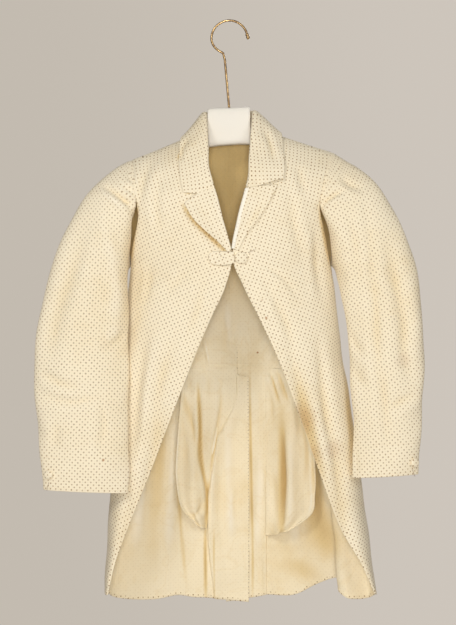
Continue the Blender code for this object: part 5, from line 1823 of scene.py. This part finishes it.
# %% Make the hanger and the hook
def make_hanger():
    """Rings round the board: an oval with squared corners, |cos|^s and |sin|^s, between the table's rows."""
    rows = np.array(HANGER, float)
    fine = np.unique(np.concatenate([np.linspace(a, b, 7) for a, b in zip(rows[:-1, 0], rows[1:, 0])]))
    x, top, bottom, middle_y, half_depth, squareness = (
        np.interp(fine, rows[:, 0], rows[:, k])[:, None] for k in range(6)
    )
    turn = np.linspace(0, 2 * math.pi, 56, endpoint=False)[None, :] + math.pi / 56
    y = middle_y + half_depth * np.sign(np.cos(turn)) * np.abs(np.cos(turn)) ** squareness
    z = (top + bottom) / 2 + (top - bottom) / 2 * np.sign(np.sin(turn)) * np.abs(np.sin(turn)) ** squareness
    item = loft("hanger_board", np.stack([np.broadcast_to(x, y.shape), y, z], axis=-1), [board])
    stand_for(item, "hanger")


def make_hook():
    """The wire's line lies in the plane y 0: an open ring, a bend, a shank. Rings are carried along it."""
    turn = np.radians(np.linspace(RING_FROM, RING_TO, 110))
    radius = HOOK_RADIUS - RING_INWARD * ease(180, RING_TO, np.degrees(turn))
    ring = np.stack([radius * np.cos(turn), RING_CENTRE_Z + radius * np.sin(turn)], axis=-1)
    shank = between(np.array(SHANK_TOP, float), np.array(SHANK_FOOT, float), np.linspace(0, 1, 24))
    line = np.concatenate([ring, shank])
    ahead, thickness = np.array(TIP).T
    line = np.concatenate([line[0] + unit(line[0] - line[1]) * ahead[:, None], line])
    wire = np.concatenate([thickness, np.full(len(line) - len(TIP), HOOK_WIRE)])
    along_wire = unit(np.gradient(line, axis=0))
    around = np.linspace(0, 2 * math.pi, 24, endpoint=False)[None, :, None]
    sideways = np.stack([along_wire[:, 1], np.zeros(len(line)), -along_wire[:, 0]], axis=-1)[:, None]
    middle = np.stack([line[:, 0], np.zeros(len(line)), line[:, 1]], axis=-1)[:, None]
    round_wire = np.cos(around) * sideways + np.sin(around) * np.array([0.0, 1.0, 0.0])
    rings = middle + wire[:, None, None] * round_wire
    item = loft("hook_wire", rings, [brass])
    stand_for(item, "hanger_hook")


make_hanger()
make_hook()

# %% [markdown]
# The floor is pale and plain. The strongest light stands just behind the camera, so that shadows are short.
# A key light is high on the left, a weaker one on the right, a faint one near the floor and a wide one
# behind the coat. The world fills the rest, as in a studio with white walls. Its colour is seen only behind
# the coat: where a ray starts at the camera it is the pale grey of the backdrop, paler to the right as
# painted light.

# %% Floor and light
FLOOR_Z = -1.45
BACKDROP = (0.585, 0.530, 0.478, 1)
BACKDROP_LEFT, BACKDROP_RIGHT = (0.546, 0.497, 0.434, 1), (0.612, 0.560, 0.500, 1)
FILL = (1.0, 0.965, 0.92, 1)
MIDDLE = (0.0, 0.0, -0.55)
LAMP_COLOR = (1.0, 0.985, 0.955)


def area_light(name, place, size, watts):
    """A soft square light that faces the middle of the coat."""
    light = bpy.data.lights.new(name, "AREA")
    light.shape, light.size = "SQUARE", size
    light.energy, light.color = watts, LAMP_COLOR
    item = bpy.data.objects.new(name, light)
    item.location = place
    item.visible_camera = False
    item.rotation_euler = (Vector(MIDDLE) - Vector(place)).to_track_quat("-Z", "Y").to_euler()
    bpy.context.scene.collection.objects.link(item)


floor_material, _, floor_shader = new_material("pale floor", 0.9)
floor_shader.inputs["Base Color"].default_value = BACKDROP
near, far, wide = -2000.0, 1600.0, 2000.0
corners = [(x, y, FLOOR_Z / MM) for x, y in ((-wide, near), (wide, near), (wide, far), (-wide, far))]
new_object("floor", corners, [(0, 1, 2, 3)], [floor_material])

world = bpy.data.worlds.new("studio")
world.use_nodes = True
tree = world.node_tree
tree.nodes.clear()
lit = node(tree, "ShaderNodeBackground", {}, {"Color": FILL, "Strength": 0.20})
ray_way = node(tree, "ShaderNodeTexCoord").outputs["Generated"]
way = node(tree, "ShaderNodeSeparateXYZ", {}, {"Vector": ray_way})
# The backdrop is painted paler to the right, as light falling on it
lit_to_the_right = smooth_range(tree, way.outputs["X"], -0.13, 0.13)
backdrop = blend_colors(tree, lit_to_the_right, BACKDROP_LEFT, BACKDROP_RIGHT)
seen = node(tree, "ShaderNodeBackground", {}, {"Color": backdrop})
to_camera = node(tree, "ShaderNodeLightPath").outputs["Is Camera Ray"]
mixed = node(tree, "ShaderNodeMixShader", {}, {0: to_camera, 1: lit.outputs[0], 2: seen.outputs[0]})
node(tree, "ShaderNodeOutputWorld", {}, {"Surface": mixed.outputs[0]})
bpy.context.scene.world = world

# columns: name, place, size, watts
LAMPS = (
    ("key", (-1.7, -3.0, 1.3), 0.9, 38.0),
    ("second", (1.8, -3.2, 0.6), 1.1, 23.0),
    ("front", (0.0, -4.0, -0.55), 0.7, 66.0),
    ("low", (0.0, -2.7, -1.35), 0.8, 4.0),
    ("behind", (0.5, 2.8, 0.6), 1.8, 50.0),
)
for lamp in LAMPS:
    area_light(*lamp)
bpy.context.scene.view_settings.view_transform = "Standard"
